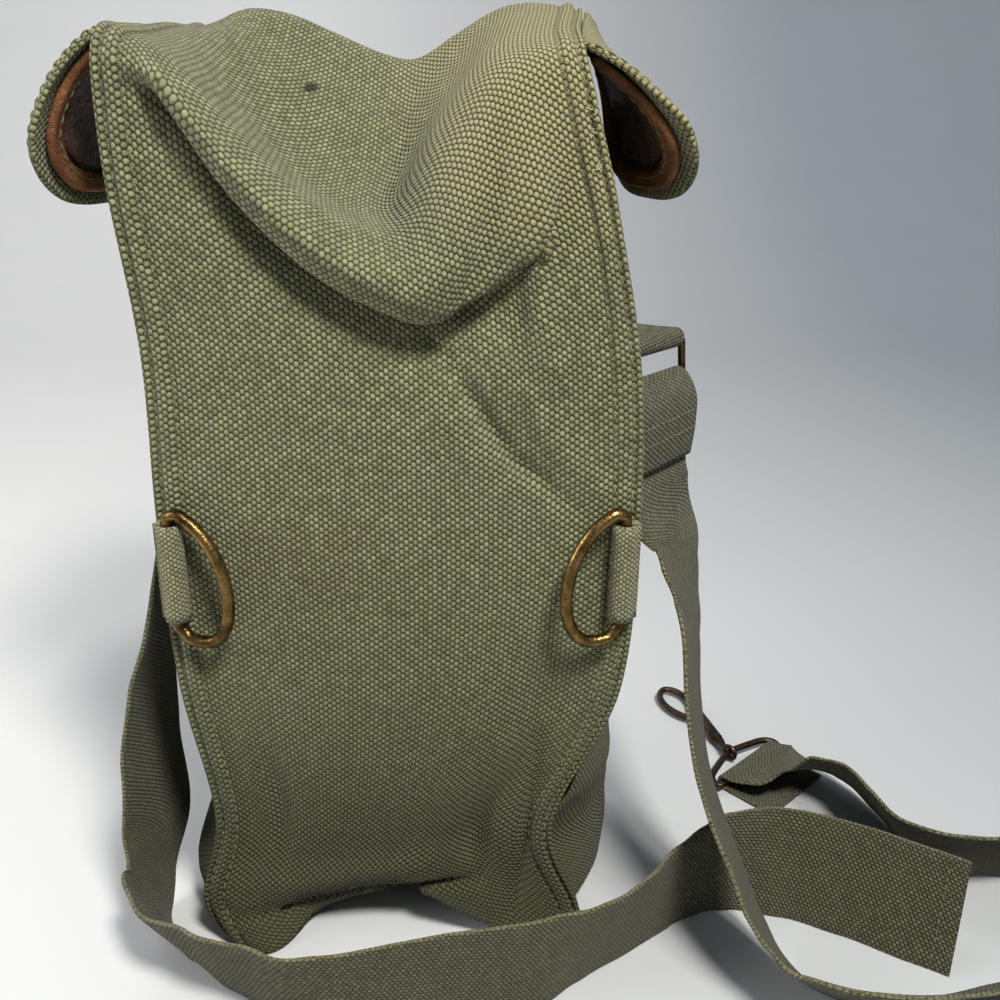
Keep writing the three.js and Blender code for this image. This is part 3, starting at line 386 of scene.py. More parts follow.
# %% Spots and selvages
def spot(tree, place, centre, radii):
    """Mask that is 1 in an oval spot on the front, at (x, z) in metres, and fades out at its edge."""
    parts = []
    for socket, middle, radius in (("X", centre[0], radii[0]), ("Z", centre[1], radii[1])):
        off = maths(tree, "DIVIDE", maths(tree, "SUBTRACT", place.outputs[socket], middle), radius)
        parts.append(maths(tree, "POWER", maths(tree, "ABSOLUTE", off), 2.0))
    return ranged(tree, maths(tree, "ADD", *parts), 1.3, 0.1)


def shaded_lit_and_stained(tree, coords, spread, colour, deep):
    """Canvas colour with painted shade near the table, a painted pool of light at the top right, the stain
    and the dark speck.
    """
    place = add_node(tree, "ShaderNodeSeparateXYZ")
    feed(tree, coords.outputs["Object"], place.inputs[0])
    # Painted shade: the colour darkens towards the table
    low = ranged(tree, place.outputs["Z"], SHADE_BELOW, 0.0, 0.0, SHADE_SHARE)
    colour = blended(tree, low, colour, deep)
    # The lit patch is painted light on the lid's top right; the stain and the speck are the canvas's own
    # marks
    for (centre, radii, tint), share in ((LIT_PATCH, 0.7), (STAIN, maths(tree, "MULTIPLY", spread["Fine"], 0.4)),
                                         (SPECK, 1.0)):
        mask = maths(tree, "MULTIPLY", spot(tree, place, centre, radii), share)
        colour = blended(tree, mask, colour, tint)
    return colour


def selvaged(tree, coords, fuzz, colour, width):
    """Webbing colour with pale speckled fuzz along both edges, lightened further as a painted highlight."""
    split = add_node(tree, "ShaderNodeSeparateXYZ")
    feed(tree, coords.outputs["UV"], split.inputs[0])
    from_middle = maths(tree, "ABSOLUTE", split.outputs["X"])
    starts, full = ((width / 2 - inset) * UV_SCALE for inset in (SELVAGE_FROM, SELVAGE_FULL))
    edge = ranged(tree, from_middle, starts, full)
    speckled = maths(tree, "MULTIPLY", edge, ranged(tree, fuzz, 0.4, 0.62, 0.0, SELVAGE_SHARE))
    return blended(tree, speckled, colour, SELVAGE_FUZZ_AND_HIGHLIGHT)


# %% Cloth recipe
def cloth(name, dark, lit, groove_shade, cell, faded=None, deep=None, slant=0.0, height=0.0009, selvage_width=None):
    material, tree, shader = new_material(name)
    coords = add_node(tree, "ShaderNodeTexCoord")
    grains = use_group(tree, weave, Vector=coords.outputs["UV"], Cell_Across=cell[0], Cell_Along=cell[1],
                       Slant=slant)
    spread = use_group(tree, patches, Vector=coords.outputs["Object"], Large=16.0, Small=150.0)
    colour = blended(tree, grains["Thread Shade"], dark, lit)
    colour = blended(tree, maths(tree, "MULTIPLY", spread["Broad"], 0.4), colour, faded or lit)
    colour = blended(tree, maths(tree, "MULTIPLY", spread["Fine"], 0.3), colour, dark)
    if deep:
        colour = shaded_lit_and_stained(tree, coords, spread, colour, deep)
    # Painted shade: the gaps between the grains are darkened to this colour
    colour = blended(tree, maths(tree, "MULTIPLY", grains["Groove"], 0.92), colour, groove_shade)
    fuzz = noise(tree, coords.outputs["Object"], FUZZ_SCALE, 2.0)
    relief = maths(tree, "ADD", grains["Height"], maths(tree, "MULTIPLY", fuzz, FUZZ_HEIGHT))
    if selvage_width:
        colour = selvaged(tree, coords, fuzz, colour, selvage_width)
    feed(tree, colour, shader.inputs["Base Color"])
    shader.inputs["Roughness"].default_value = DRY_ROUGHNESS
    shader.inputs["Sheen Weight"].default_value = FUZZ_SHEEN
    shader.inputs["Sheen Roughness"].default_value = SHEEN_ROUGHNESS
    bump = add_node(tree, "ShaderNodeBump", Strength=WEAVE_STRENGTH, Distance=height)
    feed(tree, relief, bump.inputs["Height"])
    feed(tree, bump.outputs["Normal"], shader.inputs["Normal"])
    print("cloth", name, "with grains of", cell, "mm")
    return material


# %% Canvas, webbing, tape and thread
# Canvas colours: dark and light thread, painted shade in the gaps between grains, fade; deep is the painted
# shade near the table
canvas_cloth = cloth("olive_canvas", (0.15, 0.15, 0.072, 1), (0.30, 0.30, 0.152, 1), (0.026, 0.027, 0.010, 1),
                     (3.35, 2.5), (0.285, 0.285, 0.16, 1), deep=(0.085, 0.084, 0.036, 1), height=0.0010)
webbing_cloth = cloth("olive_webbing", (0.078, 0.074, 0.038, 1), (0.142, 0.135, 0.074, 1),
                      (0.014, 0.013, 0.006, 1), (2.9, 2.1), (0.13, 0.124, 0.072, 1), slant=0.1,
                      height=0.0008, selvage_width=STRAP_WIDTH)
tape_cloth = cloth("olive_tape", (0.18, 0.172, 0.09, 1), (0.31, 0.295, 0.165, 1), (0.045, 0.044, 0.02, 1),
                   (2.6, 1.9), (0.33, 0.315, 0.19, 1), height=0.0005)
thread = cloth("sewing_thread", (0.13, 0.125, 0.062, 1), (0.24, 0.23, 0.12, 1), (0.07, 0.068, 0.03, 1),
               (0.8, 0.8), height=0.0002)
pale_thread = cloth("frayed_thread", (0.34, 0.32, 0.16, 1), (0.50, 0.47, 0.26, 1), (0.25, 0.23, 0.11, 1),
                    (0.8, 0.8), height=0.0002)


# %% [markdown]
# Leather and metal. The ears are faced with dry dark leather, whose fine wrinkles could be a noise, but
# a Voronoi texture's cell edges look more like grain. The tan band is the leather's raw, split edge.
# The brass is aged: brown in the broad patches and bright where it is rubbed, which one flat metal
# colour can't show. The hook's bronze is the same recipe, darker.

# %% Leather and metal materials
def hide(name, dark, light, scale, rough):
    material, tree, shader = new_material(name)
    coords = add_node(tree, "ShaderNodeTexCoord")
    spread = use_group(tree, patches, Vector=coords.outputs["Object"], Large=70.0, Small=520.0)
    cells = add_node(tree, "ShaderNodeTexVoronoi", feature="DISTANCE_TO_EDGE", Scale=scale)
    feed(tree, coords.outputs["Object"], cells.inputs["Vector"])
    wrinkle = ranged(tree, cells.outputs["Distance"], 0.0, 0.12)
    colour = blended(tree, spread["Broad"], dark, light)
    colour = blended(tree, maths(tree, "MULTIPLY", spread["Fine"], 0.4), colour, dark)
    colour = blended(tree, ranged(tree, wrinkle, 0.0, 1.0, 0.5, 0.0), colour, dark)
    feed(tree, colour, shader.inputs["Base Color"])
    roughness = ranged(tree, spread["Fine"], 0.0, 1.0, rough - 0.12, rough + 0.12)
    feed(tree, roughness, shader.inputs["Roughness"])
    bump = add_node(tree, "ShaderNodeBump", Strength=0.6, Distance=0.0006)
    pores = maths(tree, "MULTIPLY", spread["Fine"], 0.8)
    feed(tree, maths(tree, "ADD", wrinkle, pores), bump.inputs["Height"])
    feed(tree, bump.outputs["Normal"], shader.inputs["Normal"])
    return material


def metal(name, deep, worn, rough):
    material, tree, shader = new_material(name)
    coords = add_node(tree, "ShaderNodeTexCoord")
    spread = use_group(tree, patches, Vector=coords.outputs["Object"], Large=110.0, Small=900.0)
    colour = blended(tree, spread["Broad"], deep, worn)
    colour = blended(tree, maths(tree, "MULTIPLY", spread["Fine"], 0.35), colour, deep)
    feed(tree, colour, shader.inputs["Base Color"])
    shader.inputs["Metallic"].default_value = 1.0
    roughness = ranged(tree, spread["Fine"], 0.0, 1.0, rough - 0.08, rough + 0.15)
    feed(tree, roughness, shader.inputs["Roughness"])
    bump = add_node(tree, "ShaderNodeBump", Strength=0.25, Distance=0.0002)
    feed(tree, spread["Fine"], bump.inputs["Height"])
    feed(tree, bump.outputs["Normal"], shader.inputs["Normal"])
    return material


dark_leather = hide("dry_dark_leather", (0.042, 0.02, 0.015, 1), (0.145, 0.078, 0.062, 1), 520.0, 0.5)
tan_leather = hide("raw_tan_edge", (0.13, 0.048, 0.02, 1), (0.33, 0.15, 0.06, 1), 700.0, 0.7)
brass = metal("aged_brass", (0.055, 0.032, 0.010, 1), (0.28, 0.175, 0.06, 1), 0.3)
bronze = metal("dark_bronze", (0.04, 0.026, 0.018, 1), (0.12, 0.08, 0.055, 1), 0.42)

# %% [markdown]
# The table and the wall behind it share one pale paint. The room is darker on the right, away from the
# window. A darker light there would grey the bag too, so the paint itself goes from pale to grey along X,
# a painted shade for that fall-off, with a faint uneven tint.

# %% Table material
# Painted shade: the paint goes from pale to the shaded grey along X, as the light falls off away from the
# window
PALE_PAINT, SHADED_PAINT, PAINT_TINT = (0.75, 0.745, 0.725, 1), (0.37, 0.395, 0.42, 1), (0.55, 0.56, 0.57, 1)
PALE_UP_TO, SHADED_FROM = -0.4, 0.7

table_material, table_tree, table_shader = new_material("pale_table")
table_coords = add_node(table_tree, "ShaderNodeTexCoord").outputs["Object"]
table_noise = noise(table_tree, table_coords, 9.0, 5.0, 0.6)
table_place = add_node(table_tree, "ShaderNodeSeparateXYZ")
feed(table_tree, table_coords, table_place.inputs[0])
# Painted shade for the light falling off to the right
painted_falloff = ranged(table_tree, table_place.outputs["X"], PALE_UP_TO, SHADED_FROM, smooth=False)
table_colour = blended(table_tree, painted_falloff, PALE_PAINT, SHADED_PAINT)
uneven = ranged(table_tree, table_noise, 0.35, 0.65, 0.0, 0.05)
feed(table_tree, blended(table_tree, uneven, table_colour, PAINT_TINT), table_shader.inputs["Base Color"])
table_shader.inputs["Roughness"].default_value = 0.6


# %% [markdown]
# Mesh helpers. Blender's Solidify modifier could give a sheet its thickness, and a curve's bevel could
# make a wire. Building the points in code keeps every piece at the CAD's sizes and gives it a UV map in
# real size, which the weave needs. A sheet becomes a closed shell by offsetting its grid along its
# normals, and a ribbon or a wire is a loft of closed loops.

# %% Mesh helpers
def link_mesh(name, body_mesh, material, body, replaced=()):
    """Piece from (points in mm, faces, UVs in mm), which rides on a body and may stand for CAD nodes."""
    points, faces, uvs = body_mesh
    mesh = bpy.data.meshes.new(name)
    mesh.from_pydata([tuple(p) for p in np.asarray(points, float) / MM_PER_METRE], [], faces)
    layer = mesh.uv_layers.new(name="UVMap")
    layer.data.foreach_set("uv", [value * UV_SCALE for face_uvs in uvs for uv in face_uvs for value in uv])
    mesh.materials.append(material)
    mesh.shade_smooth()
    piece = bpy.data.objects.new(name, mesh)
    scene.collection.objects.link(piece)
    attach(piece, body)
    if replaced:
        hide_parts(*replaced)
    print(name, len(mesh.polygons), "faces")


# %% Closed shell of a sheet
def face_outward(points, faces, uvs):
    """Turn all faces over if the closed body is inside out."""
    p = np.asarray(points, float)
    p = p - p[0]
    volume = 0.0
    for f in faces:
        for k in range(1, len(f) - 1):
            volume += np.dot(p[f[0]], np.cross(p[f[k]], p[f[k + 1]]))
    if volume < 0:
        faces = [f[::-1] for f in faces]
        uvs = [u[::-1] for u in uvs]
    return faces, uvs


def grid_normals(grid):
    """Normals of a grid of points, from the middle differences along its rows and columns."""
    across = np.empty_like(grid)
    across[:, 1:-1] = grid[:, 2:] - grid[:, :-2]
    across[:, 0], across[:, -1] = grid[:, 1] - grid[:, 0], grid[:, -1] - grid[:, -2]
    along = np.empty_like(grid)
    along[1:-1] = grid[2:] - grid[:-2]
    along[0], along[-1] = grid[1] - grid[0], grid[-1] - grid[-2]
    return unit(np.cross(across, along))


def shell(grid, thickness, inward, flat_uv):
    """Closed shell from a grid of points, with softened rims."""
    rows, columns = grid.shape[:2]
    normals = grid_normals(grid)
    layers = [grid, grid + normals * inward * thickness]
    middle = (layers[0] + layers[1]) / 2
    rounding = min(0.35 * thickness, 1.0) / (0.5 * thickness)
    softened = []
    for layer in layers:
        soft = layer.copy()
        for rim in ((0, slice(None)), (-1, slice(None)), (slice(None), 0), (slice(None), -1)):
            soft[rim] = layer[rim] + (middle[rim] - layer[rim]) * rounding
        softened.append(soft)
    points = np.concatenate([softened[0].reshape(-1, 3), softened[1].reshape(-1, 3)])
    deep = rows * columns
    uv = flat_uv.reshape(-1, 2)
    faces, uvs = [], []
    faces, uvs = [], []

    def quad(a, b, c, d):
        faces.append((a, b, c, d))
        uvs.append([uv[i] for i in (a % deep, b % deep, c % deep, d % deep)])

    for r in range(rows - 1):
        for c in range(columns - 1):
            a = r * columns + c
            quad(a, a + 1, a + columns + 1, a + columns)
            quad(deep + a, deep + a + columns, deep + a + columns + 1, deep + a + 1)
    rim = list(range(columns - 1)) + [r * columns + columns - 1 for r in range(rows - 1)]
    rim += [(rows - 1) * columns + c for c in range(columns - 1, 0, -1)]
    rim += [r * columns for r in range(rows - 1, 0, -1)]
    run = 0.0
    for i, a in enumerate(rim):
        b = rim[(i + 1) % len(rim)]
        further = run + np.linalg.norm(points[b] - points[a])
        faces.append((b, a, deep + a, deep + b))
        uvs.append([(further, 0), (run, 0), (run, thickness), (further, thickness)])
        run = further
    faces, uvs = face_outward(points, faces, uvs)
    return points, faces, uvs


# %% Lengths along a grid
def run_along(points, axis):
    """Length run along every line of a grid, in millimetres."""
    steps = np.linalg.norm(np.diff(points, axis=axis), axis=-1)
    start = np.zeros_like(np.take(steps, [0], axis=axis))
    return np.concatenate([start, np.cumsum(steps, axis=axis)], axis=axis)


def arc_uv(grid):
    """UV in millimetres measured along each row and each column of a grid."""
    return np.stack([run_along(grid, 1), run_along(grid, 0)], axis=-1)


# %% Lofts of ribbons and wires
def loft(loops, hole=None, closed=False, around=None):
    """Body through closed loops. hole is a second set of loops that runs through it."""
    loops = np.asarray(loops, float)
    stations, sides = loops.shape[:2]
    points = loops.reshape(-1, 3)
    faces, uvs = [], []
    run = np.concatenate([[0], np.cumsum(np.linalg.norm(np.diff(loops.mean(axis=1), axis=0), axis=1))])
    if around is None:
        step = np.linalg.norm(np.roll(loops[0], -1, axis=0) - loops[0], axis=1)
        around = np.concatenate([[0], np.cumsum(step)])

    def join(base, flip):
        for s in range(stations if closed else stations - 1):
            n = (s + 1) % stations
            far = run[s] + (run[-1] / (stations - 1) if n == 0 else run[n] - run[s])
            for k in range(sides):
                m = (k + 1) % sides
                near, ahead = base + s * sides, base + n * sides
                face = (near + k, near + m, ahead + m, ahead + k)
                uv = [(around[k], run[s]), (around[k + 1], run[s]), (around[k + 1], far), (around[k], far)]
                faces.append(face[::-1] if flip else face)
                uvs.append(uv[::-1] if flip else uv)

    join(0, False)
    if not closed:
        end = (stations - 1) * sides
        if hole is not None:
            inner = np.asarray(hole, float)
            base = len(points)
            points = np.concatenate([points, inner.reshape(-1, 3)])
            join(base, True)
            for k in range(sides):
                n = (k + 1) % sides
                faces.append((k, base + k, base + n, n))
                faces.append((end + k, end + n, base + end + n, base + end + k))
                uvs.append([(around[k], 0)] * 4)
                uvs.append([(around[k], run[-1])] * 4)
        else:
            faces.append(tuple(range(sides))[::-1])
            faces.append(tuple(end + k for k in range(sides)))
            uvs.append([(around[k], 0) for k in range(sides)][::-1])
            uvs.append([(around[k], run[-1]) for k in range(sides)])
    faces, uvs = face_outward(points, faces, uvs)
    return points, faces, uvs


def wire_loops(path, radius, closed, sides=16):
    """Round loops along a path. radius is a number, or a function of the share of the path."""
    path = np.asarray(path, float)
    if closed:
        tangents = unit(np.roll(path, -1, axis=0) - np.roll(path, 1, axis=0))
    else:
        tangents = unit(np.gradient(path, axis=0))
    from_first = path - path[0]
    steady = np.cross(from_first, np.roll(from_first, -1, axis=0)).sum(axis=0)
    steady = unit(steady) if np.linalg.norm(steady) > 1e-3 else np.array([0.0, 0.0, 1.0])
    side = unit(steady - tangents * (tangents @ steady)[:, None])
    up = np.cross(tangents, side)
    radius_at = radius if callable(radius) else lambda share: radius
    radii = np.array([radius_at(i / (len(path) - 1)) for i in range(len(path))], float)
    turn = (np.arange(sides) + 0.5) / sides * 2 * np.pi
    ring = side[:, None] * np.cos(turn)[None, :, None] + up[:, None] * np.sin(turn)[None, :, None]
    return path[:, None] + ring * radii[:, None, None]


def merged(*bodies):
    """One body from several."""
    points, faces, uvs = [], [], []
    for p, f, u in bodies:
        base = len(points)
        points.extend(np.asarray(p).tolist())
        faces.extend(tuple(i + base for i in face) for face in f)
        uvs.extend(u)
    return points, faces, uvs


# %% Stitches
STITCH_TAPER = ((-1, 0.25), (-0.75, 0.8), (0, 1), (0.75, 0.8), (1, 0.25))
STITCH_SIDES = (0.5, 1.55, 2.6, 3.67, 4.71, 5.76)


def stitch_row(places, normals, length=3.4, spacing=4.6, thickness=0.75):
    """Small sunk thread loops along a line of places, each a flattened oval."""
    places, normals = np.asarray(places, float), np.asarray(normals, float)
    run = np.concatenate([[0], np.cumsum(np.linalg.norm(np.diff(places, axis=0), axis=1))])
    bodies = []
    for start in np.arange(spacing / 2, run[-1] - spacing / 2, spacing):
        at = [np.interp([start - length / 2, start, start + length / 2], run, places[:, k]) for k in range(3)]
        line = np.array(at).T
        normal = unit(np.array([np.interp(start, run, normals[:, k]) for k in range(3)]))
        ahead = unit(line[2] - line[0])
        side = np.cross(normal, ahead)
        loops = []
        for t, size in STITCH_TAPER:
            middle = line[1] + ahead * t * length / 2 + normal * (0.25 - 0.35 * t * t)
            loops.append([middle + (side * math.cos(a) + normal * math.sin(a)) * thickness / 2 * size
                          for a in STITCH_SIDES])
        bodies.append(loft(loops))
    return merged(*bodies)


# %% [markdown]
# The back panel, the lid and the flap are one long sheet of canvas on the real bag, so they are one
# grid here. Its outline is read from short tables, the same as in the CAD source: side edges by height,
# and eleven sections across the width that say where the crease, the sagged nose and the far rim lie.
# A cloth simulation would make folds of its own, but these are particular ones. So each fold is a line
# of places, pushed out or in along the cloth's own normal, with the seam flange and slow ripples.

# %% Tables of the long sheet
PANEL_EDGES = [
    (0.0, -0.425, 0.425), (0.03, -0.475, 0.42), (0.065, -0.495, 0.39), (0.12, -0.475, 0.3),
    (0.16, -0.445, 0.33), (0.205, -0.472, 0.4), (0.28, -0.482, 0.447), (0.42, -0.496, 0.495),
    (0.58, -0.493, 0.501), (0.7, -0.482, 0.493), (0.8, -0.489, 0.468), (0.88, -0.505, 0.428),
    (0.96, -0.508, 0.388), (1.03, -0.498, 0.355)]
LID_EDGES = [(0, -0.498, 0.355), (1, -0.478, 0.397), (2, -0.452, 0.44)]
# across, hem, tuck, crease, fold, nose, shoulder, quarter, middle, far
SHEET_SECTIONS = [
    (0.0, 0.012, 0, 0.977, 0, 1.0, 1.024, 1.031, 1.034, 1.037),
    (0.08, 0.004, 0, 0.974, 0.1, 0.996, 1.014, 1.025, 1.034, 1.046),
    (0.16, 0.004, 0.3, 0.955, 0.5, 0.975, 0.993, 1.006, 1.022, 1.06),
    (0.26, 0.022, 0.9, 0.885, 0.9, 0.91, 0.938, 0.955, 0.985, 1.056),
    (0.38, 0.04, 1, 0.82, 1, 0.845, 0.875, 0.895, 0.935, 1.036),
    (0.5, 0.062, 0.5, 0.783, 1, 0.808, 0.843, 0.866, 0.91, 1.016),
    (0.58, 0.07, 0.1, 0.77, 1, 0.802, 0.85, 0.873, 0.914, 1.012),
    (0.68, 0.034, 0, 0.786, 0.8, 0.832, 0.91, 0.943, 0.968, 1.036),
    (0.8, 0.004, 0, 0.824, 0.45, 0.89, 0.972, 1.006, 1.028, 1.062),
    (0.9, 0.004, 0, 0.886, 0.12, 0.95, 1.0, 1.021, 1.04, 1.066),
    (1.0, 0.008, 0, 0.951, 0, 0.98, 1.009, 1.026, 1.04, 1.057)]
HEM, TUCK, CREASE, FOLD, NOSE, SHOULDER, QUARTER, MIDDLE, FAR = range(1, 10)
# across, height, spread across, spread in height, push inward, all as shares
PANEL_DENTS = [
    (0.1, 0.0, 0.09, 0.07, -0.12), (0.13, 0.2, 0.05, 0.14, 0.035), (0.82, 0.2, 0.07, 0.13, 0.075),
    (0.86, 0.02, 0.12, 0.06, -0.03), (0.78, 0.52, 0.05, 0.12, 0.02), (0.76, 0.68, 0.04, 0.07, 0.025)]
RIM_REACH = 12
CREASE_TUCK = 7
PANEL_BELLY = 3
HEM_TUCK = 9
FLAP_LENGTH = 118


# %% Outline of the long sheet
def panel_edge(side, z):
    return BAG_WIDTH * read_table(PANEL_EDGES, z / BAG_HEIGHT, side)


def panel_y(across, z, hem_height, tuck):
    height = z / BAG_HEIGHT
    belly = math.sin(math.pi * clamp01(height / 0.8)) * math.sin(math.pi * across)
    y = -BAG_DEPTH / 2 - PANEL_BELLY * belly
    for at, tall_at, wide, tall, push_in in PANEL_DENTS:
        y += push_in * BAG_DEPTH * bell((across - at) / wide) * bell((height - tall_at) / tall)
    return y + HEM_TUCK * tuck * bell((z - hem_height) / (HEM_TUCK * 1.1))


def sheet_profile(across):
    columns = (HEM, CREASE, NOSE, SHOULDER, QUARTER, MIDDLE, FAR)
    high = {k: BAG_HEIGHT * read_table(SHEET_SECTIONS, across, k) for k in columns}
    fold = clamp01(read_table(SHEET_SECTIONS, across, FOLD))
    tuck = read_table(SHEET_SECTIONS, across, TUCK)
    hem_height = max(high[HEM], 2 * GAP)
    below = high[CREASE] - 0.08 * BAG_HEIGHT
    near = -BAG_DEPTH / 2

    def on_panel(z, y=None):
        x = lerp(panel_edge(1, z), panel_edge(2, z), across)
        return x, panel_y(across, z, hem_height, tuck) if y is None else y, z

    def on_lid(run, y, z):
        left, right = (BAG_WIDTH * read_table(LID_EDGES, run, k) for k in (1, 2))
        return lerp(left, right, across), y, z

    profile = [on_panel(lerp(hem_height, below, t)) for t in (0, 0.06, 0.18, 0.4, 0.62, 0.82, 1)]
    far = high[FAR]
    front = 0.5 * BAG_DEPTH + CANVAS + GAP
    profile += [
        on_panel(high[CREASE], near + CREASE_TUCK * fold),
        on_panel(high[CREASE] + lerp(0.012, 0.004, fold) * BAG_HEIGHT, near - 0.55 * RIM_REACH * fold),
        on_panel(high[NOSE], near - RIM_REACH * fold),
        on_panel(high[SHOULDER], near + 0.05 * BAG_DEPTH * (1 - fold)),
        on_lid(0.22, -0.24 * BAG_DEPTH, high[QUARTER]),
        on_lid(0.5, 0, high[MIDDLE]),
        on_lid(0.76, 0.25 * BAG_DEPTH, lerp(high[MIDDLE], far, 0.56)),
        on_lid(0.95, 0.45 * BAG_DEPTH, far),
        on_lid(1.08, front, far - 3.2 * CANVAS),
        on_lid(1.3, front, far - 0.25 * FLAP_LENGTH),
        on_lid(2, front, min(far, BAG_HEIGHT) - FLAP_LENGTH)]
    return profile


# %% [markdown]
# Cloth that has been folded and handled is never flat. Its folds could be sculpted by hand, but then
# the same run would not give the same bag. Two helpers move points instead: a few slow waves for the
# ripples, and a soft ridge or valley along a line of places for each fold that the photograph shows.

# %% Ripples and fold lines
def ripple(points, wavelengths, amounts, seed):
    """Sum of a few slow waves in random directions, for cloth that has been folded and handled."""
    rng = np.random.default_rng(seed)
    total = np.zeros(points.shape[:-1])
    for wavelength, amount in zip(wavelengths, amounts):
        for _ in range(3):
            direction = unit(rng.normal(size=3))
            total += amount / 3 * np.sin(points @ direction * 2 * np.pi / wavelength + rng.uniform(0, 6.28))
    return total


def fold_line(points, path, width, height):
    """Height of a soft ridge (or a valley, when height is negative) along a path of (x, z) places in mm."""
    flat = points[..., [0, 2]]
    nearest = np.full(points.shape[:-1], 1e9)
    share = np.zeros(points.shape[:-1])
    spans = [np.array(b, float) - np.array(a, float) for a, b in zip(path, path[1:])]
    lengths = [float(np.linalg.norm(span)) for span in spans]
    run = 0.0
    for start, span, length in zip(path, spans, lengths):
        t = np.clip(((flat - start) @ span) / length ** 2, 0, 1)
        off = np.linalg.norm(flat - (start + t[..., None] * span), axis=-1)
        closer = off < nearest
        nearest = np.where(closer, off, nearest)
        share = np.where(closer, (run + t * length) / sum(lengths), share)
        run += length
    return height * bell(nearest / width) * np.sin(np.pi * np.clip(0.1 + 0.8 * share, 0, 1))


# %% Grid of the long sheet
# Steps between neighbouring points of the profile, from the hem to the end of the flap
SHEET_STEPS = [6, 10, 16, 20, 24, 22, 14, 8, 10, 10, 9, 9, 9, 7, 6, 5, 12]
SHEET_RUN = 172
SIDE_COLUMNS = np.array([0, 0.003, 0.007, 0.011, 0.0145, 0.0175, 0.0205, 0.0245, 0.03, 0.036, 0.043, 0.048,
                         0.052, 0.0555, 0.0595, 0.064, 0.07])
across_columns = np.concatenate([SIDE_COLUMNS, np.linspace(0.08, 0.92, 124), 1 - SIDE_COLUMNS[::-1]])
sheet_grid = np.stack([smooth_curve(sheet_profile(u), SHEET_STEPS) for u in across_columns], axis=1)
sheet_normals = grid_normals(sheet_grid)
sheet_run = run_along(sheet_grid, 0)
panel_end_row, crease_row = sum(SHEET_STEPS[:6]), sum(SHEET_STEPS[:7])
panel_rise = sheet_grid[panel_end_row, :, 2].copy()
print("long sheet", SHEET_RUN, "mm wide and", round(float(sheet_run[-1].min())), "mm long at its shortest")

# %% Folds of the back panel
# What lies further back than this is not the panel
PANEL_BEHIND, PANEL_FADE = 38, 8
# (path, width, height) of each fold
PANEL_FOLDS = [
    ([(50, 330), (51, 300), (51, 277), (56, 250)], 6, 4.2),
    ([(38, 331), (37, 313), (33, 294), (24, 274)], 3.5, -4.2),
    ([(26, 270), (43, 249), (57, 228), (76, 204)], 5.5, 3.2),
    ([(12, 266), (28, 244), (43, 220), (66, 200)], 3.2, -4.2),
    ([(4, 258), (18, 236), (36, 208)], 6, 2.2),
    ([(54, 104), (51, 74), (47, 43), (43, 14)], 2.8, -4.6),
    ([(40, 96), (36, 59), (33, 18)], 5, 3.0),
    ([(-80, 20), (-70, 16), (-52, 15), (-35, 19), (-13, 23), (8, 28), (30, 32)], 2.0, -5.5),
    ([(-74, 34), (-52, 29), (-20, 35), (20, 44)], 7, 2.8),
    ([(-66, 112), (-62, 76), (-62, 40)], 5, 2.4),
    ([(-54, 96), (-52, 66), (-54, 34)], 3.5, -2.6),
    ([(-70, 336), (-60, 320), (-52, 304)], 4, 1.8)]
on_panel_mask = np.clip((-PANEL_BEHIND - sheet_grid[..., 1]) / PANEL_FADE, 0, 1)
push_out = ripple(sheet_grid, (95, 42), (0.8, 0.45), 3)
push_out += on_panel_mask * sum(fold_line(sheet_grid, *fold) for fold in PANEL_FOLDS)
print(len(PANEL_FOLDS), "folds move the cloth by up to", round(float(abs(push_out).max()), 1), "mm")

# %% Rolled rim
ROLL_FROM_CREASE, ROLL_WIDTH, ROLL_SHARE, CREASE_WIDTH = 9, 5.0, 0.55, 2.6
# The crease under the rolled rim is cut deeper, and the roll above it puffed: (across, depth)
CREASE_DEPTHS = [(0, 0), (0.09, 0.6), (0.15, 4.2), (0.3, 5.0), (0.45, 4.6), (0.58, 3.8), (0.68, 1.6),
                 (0.76, 0), (1, 0)]
from_crease = sheet_run - sheet_run[crease_row]
crease_depth = np.interp(across_columns, *zip(*CREASE_DEPTHS))
roll = ROLL_SHARE * bell((from_crease - ROLL_FROM_CREASE) / ROLL_WIDTH)
push_out += crease_depth * (roll - bell(from_crease / CREASE_WIDTH))

# %% Seam flange
# The doubled edge stands proud, with a dip under each stitch row and a low ridge between the two
SEAM_ROWS = (3.0, 9.5)
SEAM_DEPTH, SEAM_WIDTH = 1.7, 0.9
FLANGE_HEIGHT, FLANGE_PAST_SEAM, FLANGE_STEEPNESS = 1.4, 0.6, 3
RIDGE_FROM_EDGE, RIDGE_HEIGHT, RIDGE_WIDTH = 6.2, 0.4, 1.8
RIM_WIDTH, RIM_QUIET = 3, 0.9
from_edge = np.minimum(across_columns, 1 - across_columns) * SHEET_RUN
past_flange = from_edge - SEAM_ROWS[1] - FLANGE_PAST_SEAM
flange = FLANGE_HEIGHT / (1 + np.exp(past_flange * FLANGE_STEEPNESS))
flange += RIDGE_HEIGHT * bell((from_edge - RIDGE_FROM_EDGE) / RIDGE_WIDTH)
for row_in in SEAM_ROWS:
    flange -= SEAM_DEPTH * bell((from_edge - row_in) / SEAM_WIDTH)
quiet_rim = 1 - np.clip(1 - from_edge / RIM_WIDTH, 0, 1) * RIM_QUIET

# %% Back panel, lid and flap
SHEET_LOW, SHEET_HIGH = 0.25, 376.5
sheet_grid = sheet_grid + sheet_normals * (push_out * quiet_rim[None, :] + flange[None, :])[..., None]
sheet_grid[..., 2] = np.clip(sheet_grid[..., 2], SHEET_LOW, SHEET_HIGH)
